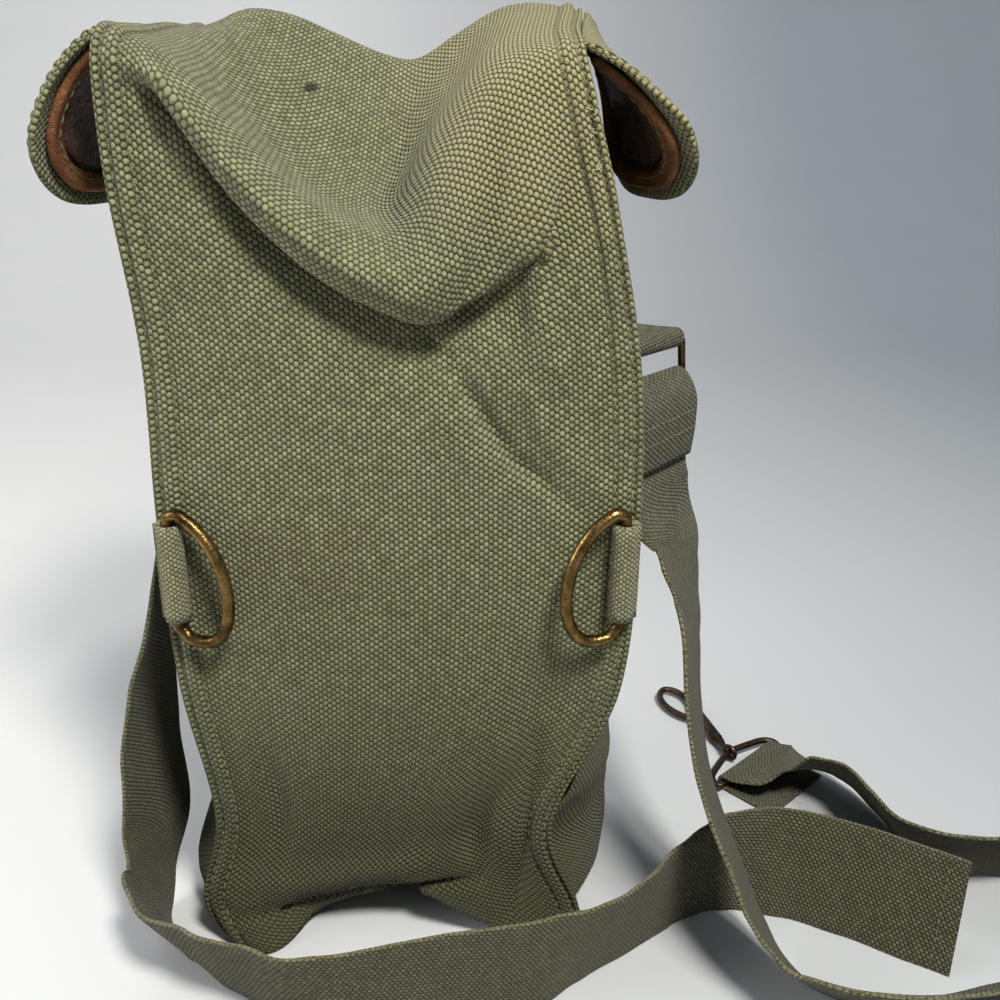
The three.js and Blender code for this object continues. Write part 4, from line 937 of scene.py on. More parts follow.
# The weave runs straight: its own height is the panel's height, and past the crease the sheet's length
run_uv = sheet_run + (panel_rise - sheet_run[panel_end_row])[None, :]
sheet_uv = np.stack(np.broadcast_arrays(across_columns[None, :] * SHEET_RUN, run_uv), axis=-1)
link_mesh("back_panel_lid_cloth", shell(sheet_grid, CANVAS, -1, sheet_uv), canvas_cloth, "bag",
          ("back_panel_lid",))

# %% [markdown]
# Two rows of stitches run up each seam flange of the back panel and over the lid. A dashed bump would
# look flat from the side, so each stitch is a small flattened oval of thread, laid along the finished
# sheet so that it follows every fold.

# %% Seam stitches
sheet_normals = grid_normals(sheet_grid)
rows_of_stitches = []
for row_in in SEAM_ROWS:
    for side in (0, 1):
        at = abs(side - row_in / SHEET_RUN)
        column = int(np.argmin(abs(across_columns - at)))
        seam, seam_normals = sheet_grid[2:, column], sheet_normals[2:, column]
        rows_of_stitches.append(stitch_row(seam, seam_normals, thickness=0.9))
flap_rows = [stitch_row(sheet_grid[-3, 3:-3], sheet_normals[-3, 3:-3])]
link_mesh("seam_stitches", merged(*rows_of_stitches, *flap_rows), thread, "bag")

# %% [markdown]
# The seam is worn through at the lid's right corner, where pale threads have come loose in three tufts.
# Hair particles would export badly, so each thread is a thin bent wire, from a seeded random draw.

# %% Frayed threads
# (rows past the crease, threads)
TUFTS = ((-6, 9), (2, 12), (12, 7))
FRAY_RADIUS = 0.27
rng = np.random.default_rng(5)
seam_column = int(np.argmin(abs(across_columns - (1 - SEAM_ROWS[0] / SHEET_RUN))))
frayed = []
for rows_past, count in TUFTS:
    for _ in range(count):
        root = sheet_grid[crease_row + rows_past, seam_column] + rng.normal(0, 1, 3) * (0.8, 0.2, 1.0)
        tip = root + np.array([rng.normal(-0.4, 1.3), -rng.uniform(0.8, 2.2), rng.normal(-1.2, 1.4)])
        bend = (root + tip) / 2 + rng.normal(0, 0.8, 3)
        frayed.append(loft(wire_loops(smooth_curve([root, bend, tip], 4), FRAY_RADIUS, False, 6)))
link_mesh("frayed_threads", merged(*frayed), pale_thread, "bag")


# %% [markdown]
# The gusset is one strip: down the left side, under the bag and up the right side. Three flat walls
# would leave hard corners, so it is swept along one outline with round bottom corners. Its near edge
# follows the back panel, and its far edge is straight, where the flat front panel closes it. It stands
# out at middle depth, most of all near the bottom, where the empty bag slumps.

# %% Gusset
GUSSET_TOP = 334
BOTTOM_RADIUS = 18
BOTTOM_LIFT_RUN = 30
FLANGE_IN = 7
# height, left, right, front
GUSSET_BULGES = [
    (0.0, 0.05, 0.02, 0.46), (0.06, 0.11, 0.08, 0.46), (0.13, 0.08, 0.13, 0.46), (0.25, 0.05, 0.06, 0.46),
    (0.5, 0.035, -0.015, 0.46), (0.75, 0.025, -0.04, 0.455), (0.88, 0.015, 0.02, 0.43),
    (0.96, 0.01, 0.04, 0.4)]
GUSSET_FAR = BAG_DEPTH / 2 - CANVAS - 2 * GAP


# %% Outline of the gusset
def gusset_row(column, z):
    return BAG_WIDTH * read_table(GUSSET_BULGES, z / BAG_HEIGHT, column)


def hem_of(across):
    return max(BAG_HEIGHT * read_table(SHEET_SECTIONS, across, HEM), 2 * GAP)


def gusset_place(side, z, far_z=None, turn=0.0):
    """One place on the gusset's outline. turn is the angle round the bottom corner."""
    sign = -1 if side == 1 else 1
    inset = BOTTOM_RADIUS * (1 - math.cos(turn))
    edge_across = 0.04 if side == 1 else 0.96
    low_z = BOTTOM_RADIUS if turn else z
    return {"across": edge_across - sign * inset / BAG_WIDTH, "z": z, "far_z": z if far_z is None else far_z,
            "near_x": panel_edge(side, max(z, BOTTOM_RADIUS) if turn else z) - sign * (FLANGE_IN + inset),
            "far_x": sign * (gusset_row(3, low_z) - inset),
            "bulge": sign * gusset_row(side, low_z) * math.cos(turn)}


def gusset_outline(side_steps, corner_steps, bottom_steps):
    def walls(side):
        heights = [lerp(GUSSET_TOP, BOTTOM_RADIUS, i / side_steps) for i in range(side_steps)]
        return [gusset_place(side, z) for z in heights]

    def corner(side):
        places = []
        for i in range(corner_steps + 1):
            turn = i / corner_steps * math.pi / 2
            sign = -1 if side == 1 else 1
            inset = BOTTOM_RADIUS * (1 - math.cos(turn))
            seam = hem_of((0.04 if side == 1 else 0.96) - sign * inset / BAG_WIDTH) + FLANGE_IN - 1
            z, far_z = lerp(BOTTOM_RADIUS, seam, math.sin(turn)), BOTTOM_RADIUS * (1 - math.sin(turn))
            place = gusset_place(side, z, far_z, turn + 1e-6)
            place["near_x"] = panel_edge(side, BOTTOM_RADIUS) - sign * (FLANGE_IN + inset)
            places.append(place)
        return places

    left, right = corner(1), corner(2)
    bottom = []
    for i in range(1, bottom_steps):
        t = i / bottom_steps
        across = lerp(left[-1]["across"], right[-1]["across"], t)
        bottom.append({"across": across, "z": hem_of(across) + FLANGE_IN - 1, "far_z": 0.0, "bulge": 0.0,
                       "near_x": lerp(left[-1]["near_x"], right[-1]["near_x"], t),
                       "far_x": lerp(left[-1]["far_x"], right[-1]["far_x"], t)})
    return walls(1) + left + bottom + right[::-1] + walls(2)[::-1]


def gusset_point(place, depth):
    hem_height = hem_of(place["across"])
    tuck = read_table(SHEET_SECTIONS, place["across"], TUCK)
    near_y = panel_y(place["across"], place["z"], hem_height, tuck) + CANVAS / 2
    y = lerp(near_y, GUSSET_FAR, depth)
    x = lerp(place["near_x"], place["far_x"], depth) + place["bulge"] * math.sin(math.pi * depth ** 0.8)
    settled = clamp01((y - near_y) / BOTTOM_LIFT_RUN)
    return x, y, place["far_z"] + (place["z"] - place["far_z"]) * (1 - settled * settled)


def gusset_side_x(side, z, y):
    """How far out the gusset stands at a height and depth."""
    place = gusset_place(side, z)
    near_y = gusset_point(place, 0)[1]
    return gusset_point(place, clamp01((y - near_y) / (GUSSET_FAR - near_y)))[0]


# %% Gusset cloth
gusset_depths = np.linspace(0.022, 1, 44)
gusset_places = gusset_outline(90, 10, 50)
gusset_grid = np.array([[gusset_point(place, d) for d in gusset_depths] for place in gusset_places])
gusset_normals = grid_normals(gusset_grid)
slack = np.sin(np.pi * gusset_depths) ** 0.7
waves = ripple(gusset_grid * [1, 0.6, 1.6], (60, 28), (0.9, 0.5), 8) * slack[None, :]
gusset_grid = gusset_grid + gusset_normals * np.minimum(waves, 0.9)[..., None]
gusset_grid[..., 2] = np.maximum(gusset_grid[..., 2], 0.1)
link_mesh("gusset_cloth", shell(gusset_grid, CANVAS, -1, arc_uv(gusset_grid)), canvas_cloth, "bag",
          ("gusset",))

# %% [markdown]
# The front panel is the plain wall under the flap. It closes the gusset and carries the far seams,
# again with two rows of stitches at each side. A single flat face would do for its shape, but a fine
# grid lets it ripple a little where nothing holds it.

# %% Front panel
FRONT_TOP = 336
FRONT_FREE_WITHIN, FRONT_FREE_BELOW, FRONT_FADE = 84, 230, 40
front_rows = []
for z in np.linspace(1.5, FRONT_TOP, 90):
    half = gusset_row(3, z) + FLANGE_IN - 1
    ends = np.linspace(-1, 1, 60)
    narrow = 1 - 0.1 * bell(z / BOTTOM_RADIUS) * abs(ends)
    front_rows.append([(half * u * n, BAG_DEPTH / 2 - GAP, z) for u, n in zip(ends, narrow)])
front_grid = np.array(front_rows)
from_side = np.clip(1 - abs(front_grid[..., 0]) / FRONT_FREE_WITHIN, 0, 1)
under_flap = np.clip((FRONT_FREE_BELOW - front_grid[..., 2]) / FRONT_FADE, 0, 1)
free = np.clip(from_side * under_flap * 3, 0, 1)
front_grid[..., 1] += ripple(front_grid, (80, 36), (1.2, 0.5), 12) * free
front_shell = shell(front_grid, CANVAS, 1, arc_uv(front_grid))
link_mesh("front_panel_cloth", front_shell, canvas_cloth, "bag", ("front_panel",))
front_normals = np.broadcast_to(np.array([0.0, 1.0, 0.0]), front_grid.shape)
front_seams = [stitch_row(front_grid[:, c], front_normals[:, c]) for c in (1, 3, -2, -4)]
link_mesh("front_stitches", merged(*front_seams), thread, "bag")


# %% [markdown]
# The ears are tongues sewn to the lid's side edges, canvas outside and leather inside. A bend modifier
# would curl each one evenly, but in the photograph they twist. So each is a sheet bent on an arc whose
# angles differ from its near to its far end, and all its layers share that one surface. The tan band
# is the leather's raw border strip, a little thicker than the dark face.

# %% Ears
EAR_WIDTH, EAR_LENGTH = 90, 66
EAR_FROM, EAR_TO = 0.6, 0.815
EAR_ROOT, UNDER = -1.6, -CANVAS / 2 - 3 * GAP
LEATHER, LEATHER_INSET, LEATHER_CLEAR, BAND_WIDTH, BAND_THICKNESS = 2, 4, 1.5, 7, 3
# name: outward sign, place across the lid, angles at the root and at the tip (near end, far end)
EARS = {"left": (-1, 0, (30, 42), (98, 104)), "right": (1, 1, (24, 60), (60, 104))}


# %% Surface of an ear
def ear_surface(name):
    """Function from (a, b, lift) on an ear to a point: a along its root, b outward, lift off its middle."""
    sign, across, starts, ends = EARS[name]
    fine_edge = smooth_curve(sheet_profile(across), 40)
    share = np.linspace(0, 1, len(fine_edge))

    def point(a, b, lift):
        t = a / EAR_WIDTH + 0.5
        at = lerp(EAR_FROM, EAR_TO, clamp01(t))
        root = np.array([np.interp(at, share, fine_edge[:, k]) for k in range(3)])
        start = math.radians(lerp(*starts, t))
        end = math.radians(lerp(*ends, math.sqrt(clamp01(t))))
        bend = (end - start) / EAR_LENGTH
        angle = start + bend * b
        out = (math.sin(angle) - math.sin(start)) / bend + lift * math.sin(angle)
        down = (math.cos(start) - math.cos(angle)) / bend - lift * math.cos(angle)
        clear = 3 * GAP + 0.5 * CANVAS * math.sin(start)
        return np.array([root[0] + sign * (clear + out), root[1], root[2] - 0.5 * CANVAS - down])

    return point


def ear_reach(a, half, length):
    share = clamp01(abs(a) / half)
    return length * (0.6 + 0.4 * math.sqrt(1 - share ** 3))


def ear_grid(surface, half, length, start, lift, columns=56, rows=34):
    grid, uv = [], []
    for r in range(rows + 1):
        for_row, for_uv = [], []
        for c in range(columns + 1):
            a = half * math.sin(math.pi * (c / columns - 0.5))
            b = lerp(start, ear_reach(a, half, length), r / rows)
            for_row.append(surface(a, b, lift))
            for_uv.append((a, b))
        grid.append(for_row)
        uv.append(for_uv)
    return np.array(grid), np.array(uv)


def ear_band_grid(surface, lift):
    grid, uv = [], []
    for inner in np.linspace(0, 1, 9):
        half = EAR_WIDTH / 2 - LEATHER_INSET - inner * BAND_WIDTH
        length = EAR_LENGTH - LEATHER_INSET - inner * BAND_WIDTH
        shoulder = ear_reach(half, half, length)
        places = [(-half, lerp(LEATHER_INSET, shoulder, i / 24)) for i in range(24)]
        places += [(half * math.sin(math.pi * (i / 60 - 0.5)), None) for i in range(61)]
        places += [(half, lerp(LEATHER_INSET, shoulder, i / 24)) for i in range(23, -1, -1)]
        places = [(a, ear_reach(a, half, length) if b is None else b) for a, b in places]
        grid.append([surface(a, b, lift) for a, b in places])
        uv.append(places)
    return np.array(grid), np.array(uv)


# %% Layers of both ears
for name, ear in EARS.items():
    sign = ear[0]
    surface = ear_surface(name)
    grid, uv = ear_grid(surface, EAR_WIDTH / 2, EAR_LENGTH, EAR_ROOT, CANVAS / 2)
    normals = grid_normals(grid) * -sign
    grid = grid + normals * ripple(grid, (48, 30), (0.35, 0.2), 21)[..., None]
    link_mesh(f"ear_{name}_cloth", shell(grid, CANVAS, sign, uv), canvas_cloth, "bag",
              (f"ear_{name}_canvas",))
    ear_normals = grid_normals(grid) * -sign
    rim_line, rim_normals = (np.concatenate([item[2:-2, 2], item[-3, 3:-3], item[2:-2, -3][::-1]])
                             for item in (grid, ear_normals))
    inset = LEATHER_INSET + BAND_WIDTH + LEATHER_CLEAR
    face, face_uv = ear_grid(surface, EAR_WIDTH / 2 - inset, EAR_LENGTH - inset, 1.0, UNDER, 44, 26)
    link_mesh(f"ear_{name}_face", shell(face, LEATHER, sign, face_uv), dark_leather, "bag",
              (f"ear_{name}_leather",))
    band, band_uv = ear_band_grid(surface, UNDER)
    link_mesh(f"ear_{name}_border", shell(band, BAND_THICKNESS, -sign, band_uv), tan_leather, "bag",
              (f"ear_{name}_band",))
    band_normals = grid_normals(band)[5] * -sign
    below = band[5] + band_normals * BAND_THICKNESS
    rows_of_ear = [stitch_row(rim_line, rim_normals), stitch_row(below[2:-2], band_normals[2:-2])]
    link_mesh(f"ear_{name}_stitches", merged(*rows_of_ear), thread, "bag")


# %% [markdown]
# A strap is a ribbon of webbing. A bevelled curve could make it, but its twist would be hard to hold.
# So it is a route of middle points, with the direction across the webbing at each one, and a flat oval
# cross-section with rounded selvages is swept along. Where a strap lies on the table it stands on its
# lower edge, so its middle is lifted by half of what its width reaches down.

# %% Strap helpers
WEBBING = 2


def strap_frames(rows, steps):
    """rows: (middle, across) pairs, or (x, y, foot, ex, ey, ez) rows where the strap stands on the table."""
    middles, acrosses = [], []
    for row in rows:
        if len(row) == 2:
            middles.append(row[0])
            acrosses.append(unit(row[1]))
            continue
        across = unit(row[3:])
        stand = 0.5 * (abs(across[2]) * STRAP_WIDTH + math.sqrt(max(1 - across[2] ** 2, 0)) * WEBBING)
        middles.append((row[0] * BAG_WIDTH, row[1] * BAG_DEPTH, row[2] * BAG_HEIGHT + stand + 0.1))
        acrosses.append(across)
    curve = smooth_curve(middles, steps)
    ahead = unit(np.gradient(curve, axis=0))
    spans = len(middles) - 1
    frames = []
    for i, middle in enumerate(curve):
        place = min(i // steps, spans - 1)
        t = i / steps - place
        ease = t * t * (3 - 2 * t)
        across = acrosses[place] + (acrosses[place + 1] - acrosses[place]) * ease
        across = unit(across - ahead[i] * (across @ ahead[i]))
        through = np.cross(ahead[i], across)
        low = 0.5 * (abs(across[2]) * STRAP_WIDTH + abs(through[2]) * WEBBING) + 0.05
        middle = np.array([middle[0], middle[1], max(middle[2], low)])
        frames.append((middle, across, through))
    return frames


# %% Ribbon of webbing
def ribbon(frames, width=STRAP_WIDTH, thickness=WEBBING, seed=1, lively=0.25):
    """Flat oval cross-section swept along the frames."""
    top = [(-0.5, 0.0), (-0.492, 0.36), (-0.47, 0.5), (-0.4, 0.47), (-0.2, 0.46), (0, 0.46), (0.2, 0.46),
           (0.4, 0.47), (0.47, 0.5), (0.492, 0.36), (0.5, 0.0)]
    section = top + [(a, -b) for a, b in top[-2:0:-1]]
    around = np.array([a * width for a, _ in section] + [section[0][0] * width])
    rng = np.random.default_rng(seed)
    phase = rng.uniform(0, 6.28, 4)
    loops = []
    run = 0.0
    before = frames[0][0]
    for middle, across, through in frames:
        run += np.linalg.norm(middle - before)
        before = middle
        wave = lively * (math.sin(run / 9 + phase[0]) * 0.5 + math.sin(run / 23 + phase[1]))
        loop = []
        for a, b in section:
            edge = lively * 0.8 * math.sin(run / 4.6 + phase[2] + 5 * a) * (abs(a) > 0.44)
            lift = b * thickness + wave * (1 - 4 * a * a) + edge * 0.4
            loop.append(middle + across * a * width + through * lift)
        loops.append(loop)
    print("ribbon of", round(float(run)), "mm")
    return loft(loops, around=around)


# %% [markdown]
# The left strap is sewn to the left gusset. It hangs down, comes round the front of the bag and ends
# free on the table at the right. A gravity simulation would settle it in its own way, so the route's
# rows are chosen from the photograph, and each one says how the webbing stands there.

# %% Left strap
# (x, y, foot height) as shares of the bag's width, depth and height, and the direction across the webbing
LEFT_STRAP_ROUTE = [
    (-0.565, -0.19, 0.4, -0.02, -1, 0.08), (-0.615, -0.19, 0.31, -0.06, -0.98, 0.18),
    (-0.64, -0.21, 0.2, -0.16, -0.92, 0.35), (-0.64, -0.26, 0.09, -0.28, -0.82, 0.5),
    (-0.645, -0.38, 0.03, -0.1, -0.8, 0.6), (-0.622, -0.53, 0, 0.04, -0.73, 0.69),
    (-0.56, -0.7, 0, 0.14, -0.64, 0.75), (-0.44, -0.85, 0, 0.18, -0.48, 0.86),
    (-0.34, -0.94, 0, 0.11, -0.4, 0.91), (-0.25, -1.04, 0, 0.06, -0.22, 0.97),
    (-0.16, -1.07, 0, 0, -0.06, 1), (0.0, -1.02, 0, 0, 0, 1), (0.1, -0.975, 0, 0, 0, 1),
    (0.21, -0.935, 0, 0, -0.03, 1), (0.31, -0.88, 0, -0.03, -0.1, 1),
    (0.405, -0.79, 0, -0.06, -0.28, 0.95), (0.483, -0.7, 0, -0.14, -0.38, 0.9),
    (0.56, -0.59, 0, -0.15, -0.36, 0.9), (0.637, -0.46, 0, -0.1, -0.2, 0.97),
    (0.713, -0.365, 0, 0, 0, 1), (0.787, -0.305, 0, 0, 0.16, 0.99), (0.93, -0.29, 0, 0.05, 0.42, 0.9),
    (1.073, -0.37, 0, 0.15, 0.54, 0.83), (1.19, -0.49, 0, 0.24, 0.52, 0.82),
    (1.295, -0.625, 0, 0.22, 0.42, 0.88)]
sewn_on = []
for height in (0.63, 0.56):
    z = height * BAG_HEIGHT
    outermost = min(gusset_side_x(1, z, y) for y in (-40, -30, -20, -10, 0))
    sewn_on.append(((outermost - 2 * GAP - WEBBING / 2, -0.2 * BAG_DEPTH, z), (0, -1, 0)))
left_frames = strap_frames(sewn_on + LEFT_STRAP_ROUTE, 9)
link_mesh("strap_left_webbing", ribbon(left_frames, seed=4), webbing_cloth, "bag", ("strap_left",))


# %% Stitches across a strap
def strap_stitches(frames, index, faces=(1, -1)):
    """A row of stitches across a strap at one of its frames, on each of the given faces."""
    middle, across, through = frames[index]
    rows = []
    for face in faces:
        on_face = middle + through * face * WEBBING * 0.5
        line = np.array([on_face + across * a * STRAP_WIDTH for a in np.linspace(-0.44, 0.44, 12)])
        normals = np.tile(through * face, (12, 1))
        rows.append(stitch_row(line, normals, length=2.6, spacing=3.6, thickness=0.6))
    return merged(*rows)


# %% [markdown]
# The slider is a wire frame with a middle bar, held by a webbing chape on the right side of the bag. A
# skin modifier could thicken a wire, but its joints are lumpy, so each bar is a loft of round loops.
# The chape is webbing folded round the top bar: an eye with a doubled tail that reaches the gusset.

# %% Slider and chape
SLIDER_WIRE, SLIDER_WIDTH, SLIDER_HEIGHT, SLIDER_MIDDLE, SLIDER_TOP = 3.2, 52, 62, 16.5, 250
SLIDER_STAND_OFF, SLIDER_YAW, SLIDER_BULGE, SLIDER_LEAN = 22, math.radians(42), 8, 0.07
slider_along = np.array([math.sin(SLIDER_YAW), math.cos(SLIDER_YAW), 0])
slider_out = np.array([math.cos(SLIDER_YAW), -math.sin(SLIDER_YAW), 0])
slider_y = 0.03 * BAG_DEPTH
slider_x = gusset_side_x(2, SLIDER_TOP, slider_y) + SLIDER_STAND_OFF
MIDDLE_BAR = SLIDER_TOP - SLIDER_MIDDLE
BOTTOM_BAR = SLIDER_TOP - SLIDER_HEIGHT


def slider_point(along, z, out=0.0):
    leaning_x = slider_x + SLIDER_LEAN * (SLIDER_TOP - z)
    return np.array([leaning_x, slider_y, z]) + slider_along * along + slider_out * out


def rounded_path(corners, radius, point, per_corner=10):
    """Closed path through rectangle corners (in order), each rounded."""
    path = []
    for i, corner in enumerate(corners):
        c = np.array(corner, float)
        before, after = np.array(corners[i - 1], float), np.array(corners[(i + 1) % len(corners)], float)
        a, b = c + unit(before - c) * radius, c + unit(after - c) * radius
        centre = a + b - c
        for t in np.linspace(0, math.pi / 2, per_corner):
            at = centre + (a - centre) * math.cos(t) + (b - centre) * math.sin(t)
            path.append(point(at[0], at[1]))
    return path


# %% Slider wire
half = SLIDER_WIDTH / 2
slider_corners = [(half, SLIDER_TOP), (-half, SLIDER_TOP), (-half, BOTTOM_BAR), (half, BOTTOM_BAR)]
slider_frame = wire_loops(rounded_path(slider_corners, 3, slider_point), SLIDER_WIRE / 2, True)
middle_bar = [slider_point(lerp(-half, half, t), MIDDLE_BAR) for t in np.linspace(0, 1, 12)]
slider_bars = merged(loft(slider_frame, closed=True), loft(wire_loops(middle_bar, SLIDER_WIRE / 2, False)))
link_mesh("slider_wire", slider_bars, brass, "bag", ("slider",))


# %% Webbing folded round a bar
def webbing_eye(stations, bar_wire, turns=28):
    """Webbing folded round a bar: an eye with a doubled tail."""
    inner = bar_wire / 2 + 1.5 * GAP
    outer = inner + WEBBING
    skins, holes = [], []
    axis = unit(stations[-1][0] - stations[0][0])
    for bar, tail, up in stations:
        back = unit((tail - bar) - axis * ((tail - bar) @ axis))
        lift = unit(up - back * (up @ back))
        turn = (np.arange(turns) + 0.5) / turns * 2 * np.pi
        circle = back[None] * np.cos(turn)[:, None] + lift[None] * np.sin(turn)[:, None]
        skin = bar + circle * outer
        reach = np.linalg.norm(tail - bar)
        for k, angle in enumerate(turn):
            near_tail = math.cos(angle)
            if near_tail > 0.35:
                share = (near_tail - 0.35) / 0.65
                side = 1 if math.sin(angle) > 0 else -1
                rise = lerp(outer * 0.93, WEBBING, min(share * 1.6, 1))
                skin[k] = bar + back * lerp(outer * 0.4, reach, share) + lift * side * rise
        skins.append(skin)
        holes.append(bar + circle * inner)
    return loft(skins, hole=holes)


# %% Slider chape
chape_half = 0.5 * STRAP_WIDTH - 2
chape_stations = []
for share in np.linspace(-1, 1, 15):
    bar = slider_point(share * chape_half, SLIDER_TOP)
    wall = gusset_side_x(2, SLIDER_TOP, bar[1])
    tail = np.array([min(wall + 3 * GAP, bar[0] - 5), bar[1], SLIDER_TOP + WEBBING / 2])
    chape_stations.append((bar, tail, np.array([0.0, 0.0, 1.0])))
link_mesh("slider_chape_webbing", webbing_eye(chape_stations, SLIDER_WIRE), webbing_cloth, "bag",
          ("slider_chape",))

# %% [markdown]
# The right strap turns over the slider's middle bar, comes out over the lower bar, runs down to the
# table, makes a loop to the right and ends folded round the bar of the hook's ring. It is the same kind
# of ribbon. Its first and last points are worked out from the bars, and only the ones between are
# chosen from the photograph.

# %% Right strap
RIGHT_STRAP_ROUTE = [
    (0.628, -0.015, 0.466, -0.55, -0.8, 0.25), (0.64, -0.06, 0.427, -0.48, -0.82, 0.36),
    (0.655, -0.13, 0.383, -0.37, -0.84, 0.4), (0.662, -0.22, 0.337, -0.3, -0.83, 0.46),
    (0.668, -0.3, 0.267, -0.29, -0.81, 0.51), (0.69, -0.4, 0.187, -0.29, -0.79, 0.54),
    (0.715, -0.49, 0.15, -0.28, -0.84, 0.47), (0.752, -0.6, 0.105, -0.28, -0.82, 0.5),
    (0.79, -0.7, 0.05, -0.33, -0.7, 0.63), (0.835, -0.81, 0.01, -0.39, -0.53, 0.75),
    (0.88, -0.905, 0, -0.43, -0.53, 0.73), (0.965, -0.985, 0, -0.29, -0.6, 0.75),
    (1.075, -1.02, 0, -0.04, -0.64, 0.77), (1.21, -0.995, 0, 0.13, -0.64, 0.77),
    (1.34, -0.94, 0, 0.13, -0.64, 0.77), (1.475, -0.87, 0, 0.15, -0.6, 0.79),
    (1.62, -0.76, 0, 0.22, -0.4, 0.87), (1.7, -0.55, 0, 0.15, -0.05, 0.98),
    (1.67, -0.35, 0, -0.02, -0.15, 0.98), (1.59, -0.25, 0, -0.15, -0.38, 0.9),
    (1.49, -0.245, 0, -0.34, -0.5, 0.8), (1.42, -0.25, 0, -0.33, -0.45, 0.84),
    (1.35, -0.22, 0, -0.38, -0.4, 0.84), (1.285, -0.12, 0, -0.49, -0.33, 0.83),
    (1.258, 0.05, 0, -0.52, -0.25, 0.82), (1.23, 0.25, 0.002, -0.5, -0.35, 0.8),
    (1.175, 0.4, 0.01, -0.53, -0.52, 0.68), (1.105, 0.5, 0.017, -0.64, -0.6, 0.36)]
# %% Bar of the hook's ring
HOOK_RING_WIRE, HOOK_RING_BAR, HOOK_RING_DEPTH = 3.6, 54, 13
ring_heading = math.radians(43)
ring_along = np.array([math.cos(ring_heading), math.sin(ring_heading), 0])
ring_back = np.array([math.sin(ring_heading), -math.cos(ring_heading), 0])
ring_bar = np.array([0.978 * BAG_WIDTH, 0.68 * BAG_DEPTH, 2 * GAP + WEBBING + HOOK_RING_WIRE / 2])
STRAP_RETURN = 30

clear = SLIDER_WIRE / 2 + GAP + WEBBING / 2


def below(share):
    """Height between the middle bar (0) and the bottom bar (1)."""
    return lerp(MIDDLE_BAR, BOTTOM_BAR, share)


# %% Turns round the bars
# (out from the slider's plane, height) round the middle bar and over the bottom one
head = [(0.6 * SLIDER_BULGE, below(0.74)), (0.95 * SLIDER_BULGE, below(0.42)), (SLIDER_BULGE, below(0.14)),
        (1.45 * clear, MIDDLE_BAR + 0.4 * clear), (0.7 * clear, MIDDLE_BAR + clear),
        (0, MIDDLE_BAR + 1.15 * clear),
        (-0.8 * clear, MIDDLE_BAR + 0.75 * clear), (-1.1 * clear, below(0.02)), (-1.1 * clear, below(0.22)),
        (-0.12 * clear, below(0.53)), (0.7 * clear, below(0.76)), (1.7 * clear, BOTTOM_BAR)]
reach = HOOK_RING_WIRE / 2 + GAP + WEBBING / 2
# (back from the ring's bar, height above it) round the bar
tail = [(14, 2.4 * reach), (5, 1.3 * reach), (0, reach), (-0.75 * reach, 0.75 * reach), (-1.05 * reach, 0),
        (-0.75 * reach, -0.75 * reach), (0, -reach), (5, -reach), (STRAP_RETURN, -reach)]
right_rows = [(slider_point(0, z, out), -slider_along) for out, z in head] + RIGHT_STRAP_ROUTE
right_rows += [(ring_bar + ring_back * back + np.array([0, 0, up]), -ring_along) for back, up in tail]
right_frames = strap_frames(right_rows, 7)
right_ribbon = ribbon(right_frames, seed=9, lively=0.18)
link_mesh("strap_right_webbing", right_ribbon, webbing_cloth, "bag", ("strap_right",))
strap_rows = [strap_stitches(left_frames, index) for index in (-4, 4, 1)]
strap_rows += [strap_stitches(right_frames, index, faces=(1,)) for index in (6, 10, -5)]
link_mesh("strap_stitches", merged(*strap_rows), thread, "bag")

# %% [markdown]
# The two D-rings lie on the back panel in their webbing loops. A torus primitive would be too even for
# a bent wire, so each ring is a straight bar and half an oval, lofted as one closed path. Each one rides
# on its own CAD body, while its loop stays with the bag.

# %% D-rings and their loops
RING_WIRE, RING_BAR, RING_REACH, RING_DROOP, RING_LIFT = 4.8, 50, 21, 0.42, 6
LOOP_HEIGHT, LOOP_RING_HEIGHT = 38, 178


def ring_frame(side):
    sign = -1 if side == 1 else 1

    def edge(z):
        across = 0.03 if side == 1 else 0.97
        return np.array([panel_edge(side, z), panel_y(across, z, hem_of(across), 0), z])

    low, high = edge(LOOP_RING_HEIGHT - LOOP_HEIGHT / 2), edge(LOOP_RING_HEIGHT + LOOP_HEIGHT / 2)
    up = unit(high - low)
    inward = unit(np.array([-sign, 0, 0]) + up * sign * up[0])
    out = np.array([0.0, -1.0, 0.0])
    knuckle = RING_WIRE / 2 + GAP + WEBBING
    middle = (low + high) / 2 + inward * (knuckle + 1) + out * (knuckle + GAP)
    return up, out, inward, middle, knuckle


# %% Both D-rings and their loops
for side, name in ((1, "left"), (2, "right")):
    up, out, inward, middle, knuckle = ring_frame(side)

    def place(reach_in, rise):
        lift = RING_LIFT * clamp01(reach_in / RING_REACH)
        return middle + inward * reach_in + up * (rise - RING_DROOP * reach_in) + out * lift

    half = RING_BAR / 2
    path = [place(0, lerp(-half + 3, half - 3, t)) for t in np.linspace(0, 1, 12)]
    path += [place(RING_REACH * math.sin(turn) ** 0.75, half * math.cos(turn))
             for turn in np.linspace(0.1, math.pi - 0.1, 60)]
    ring = loft(wire_loops(path, RING_WIRE / 2, True, 20), closed=True)
    link_mesh(f"ring_{name}_wire", ring, brass, f"ring_{name}", (f"ring_{name}",))
    stations = []
    for share in np.linspace(-1, 1, 13):
        bar = middle + up * share * LOOP_HEIGHT / 2
        stations.append((bar, bar - inward * (knuckle + 1.5 * GAP) - out * (knuckle - WEBBING), out))
    link_mesh(f"ring_loop_{name}_webbing", webbing_eye(stations, RING_WIRE), tape_cloth, "bag",
              (f"ring_loop_{name}",))

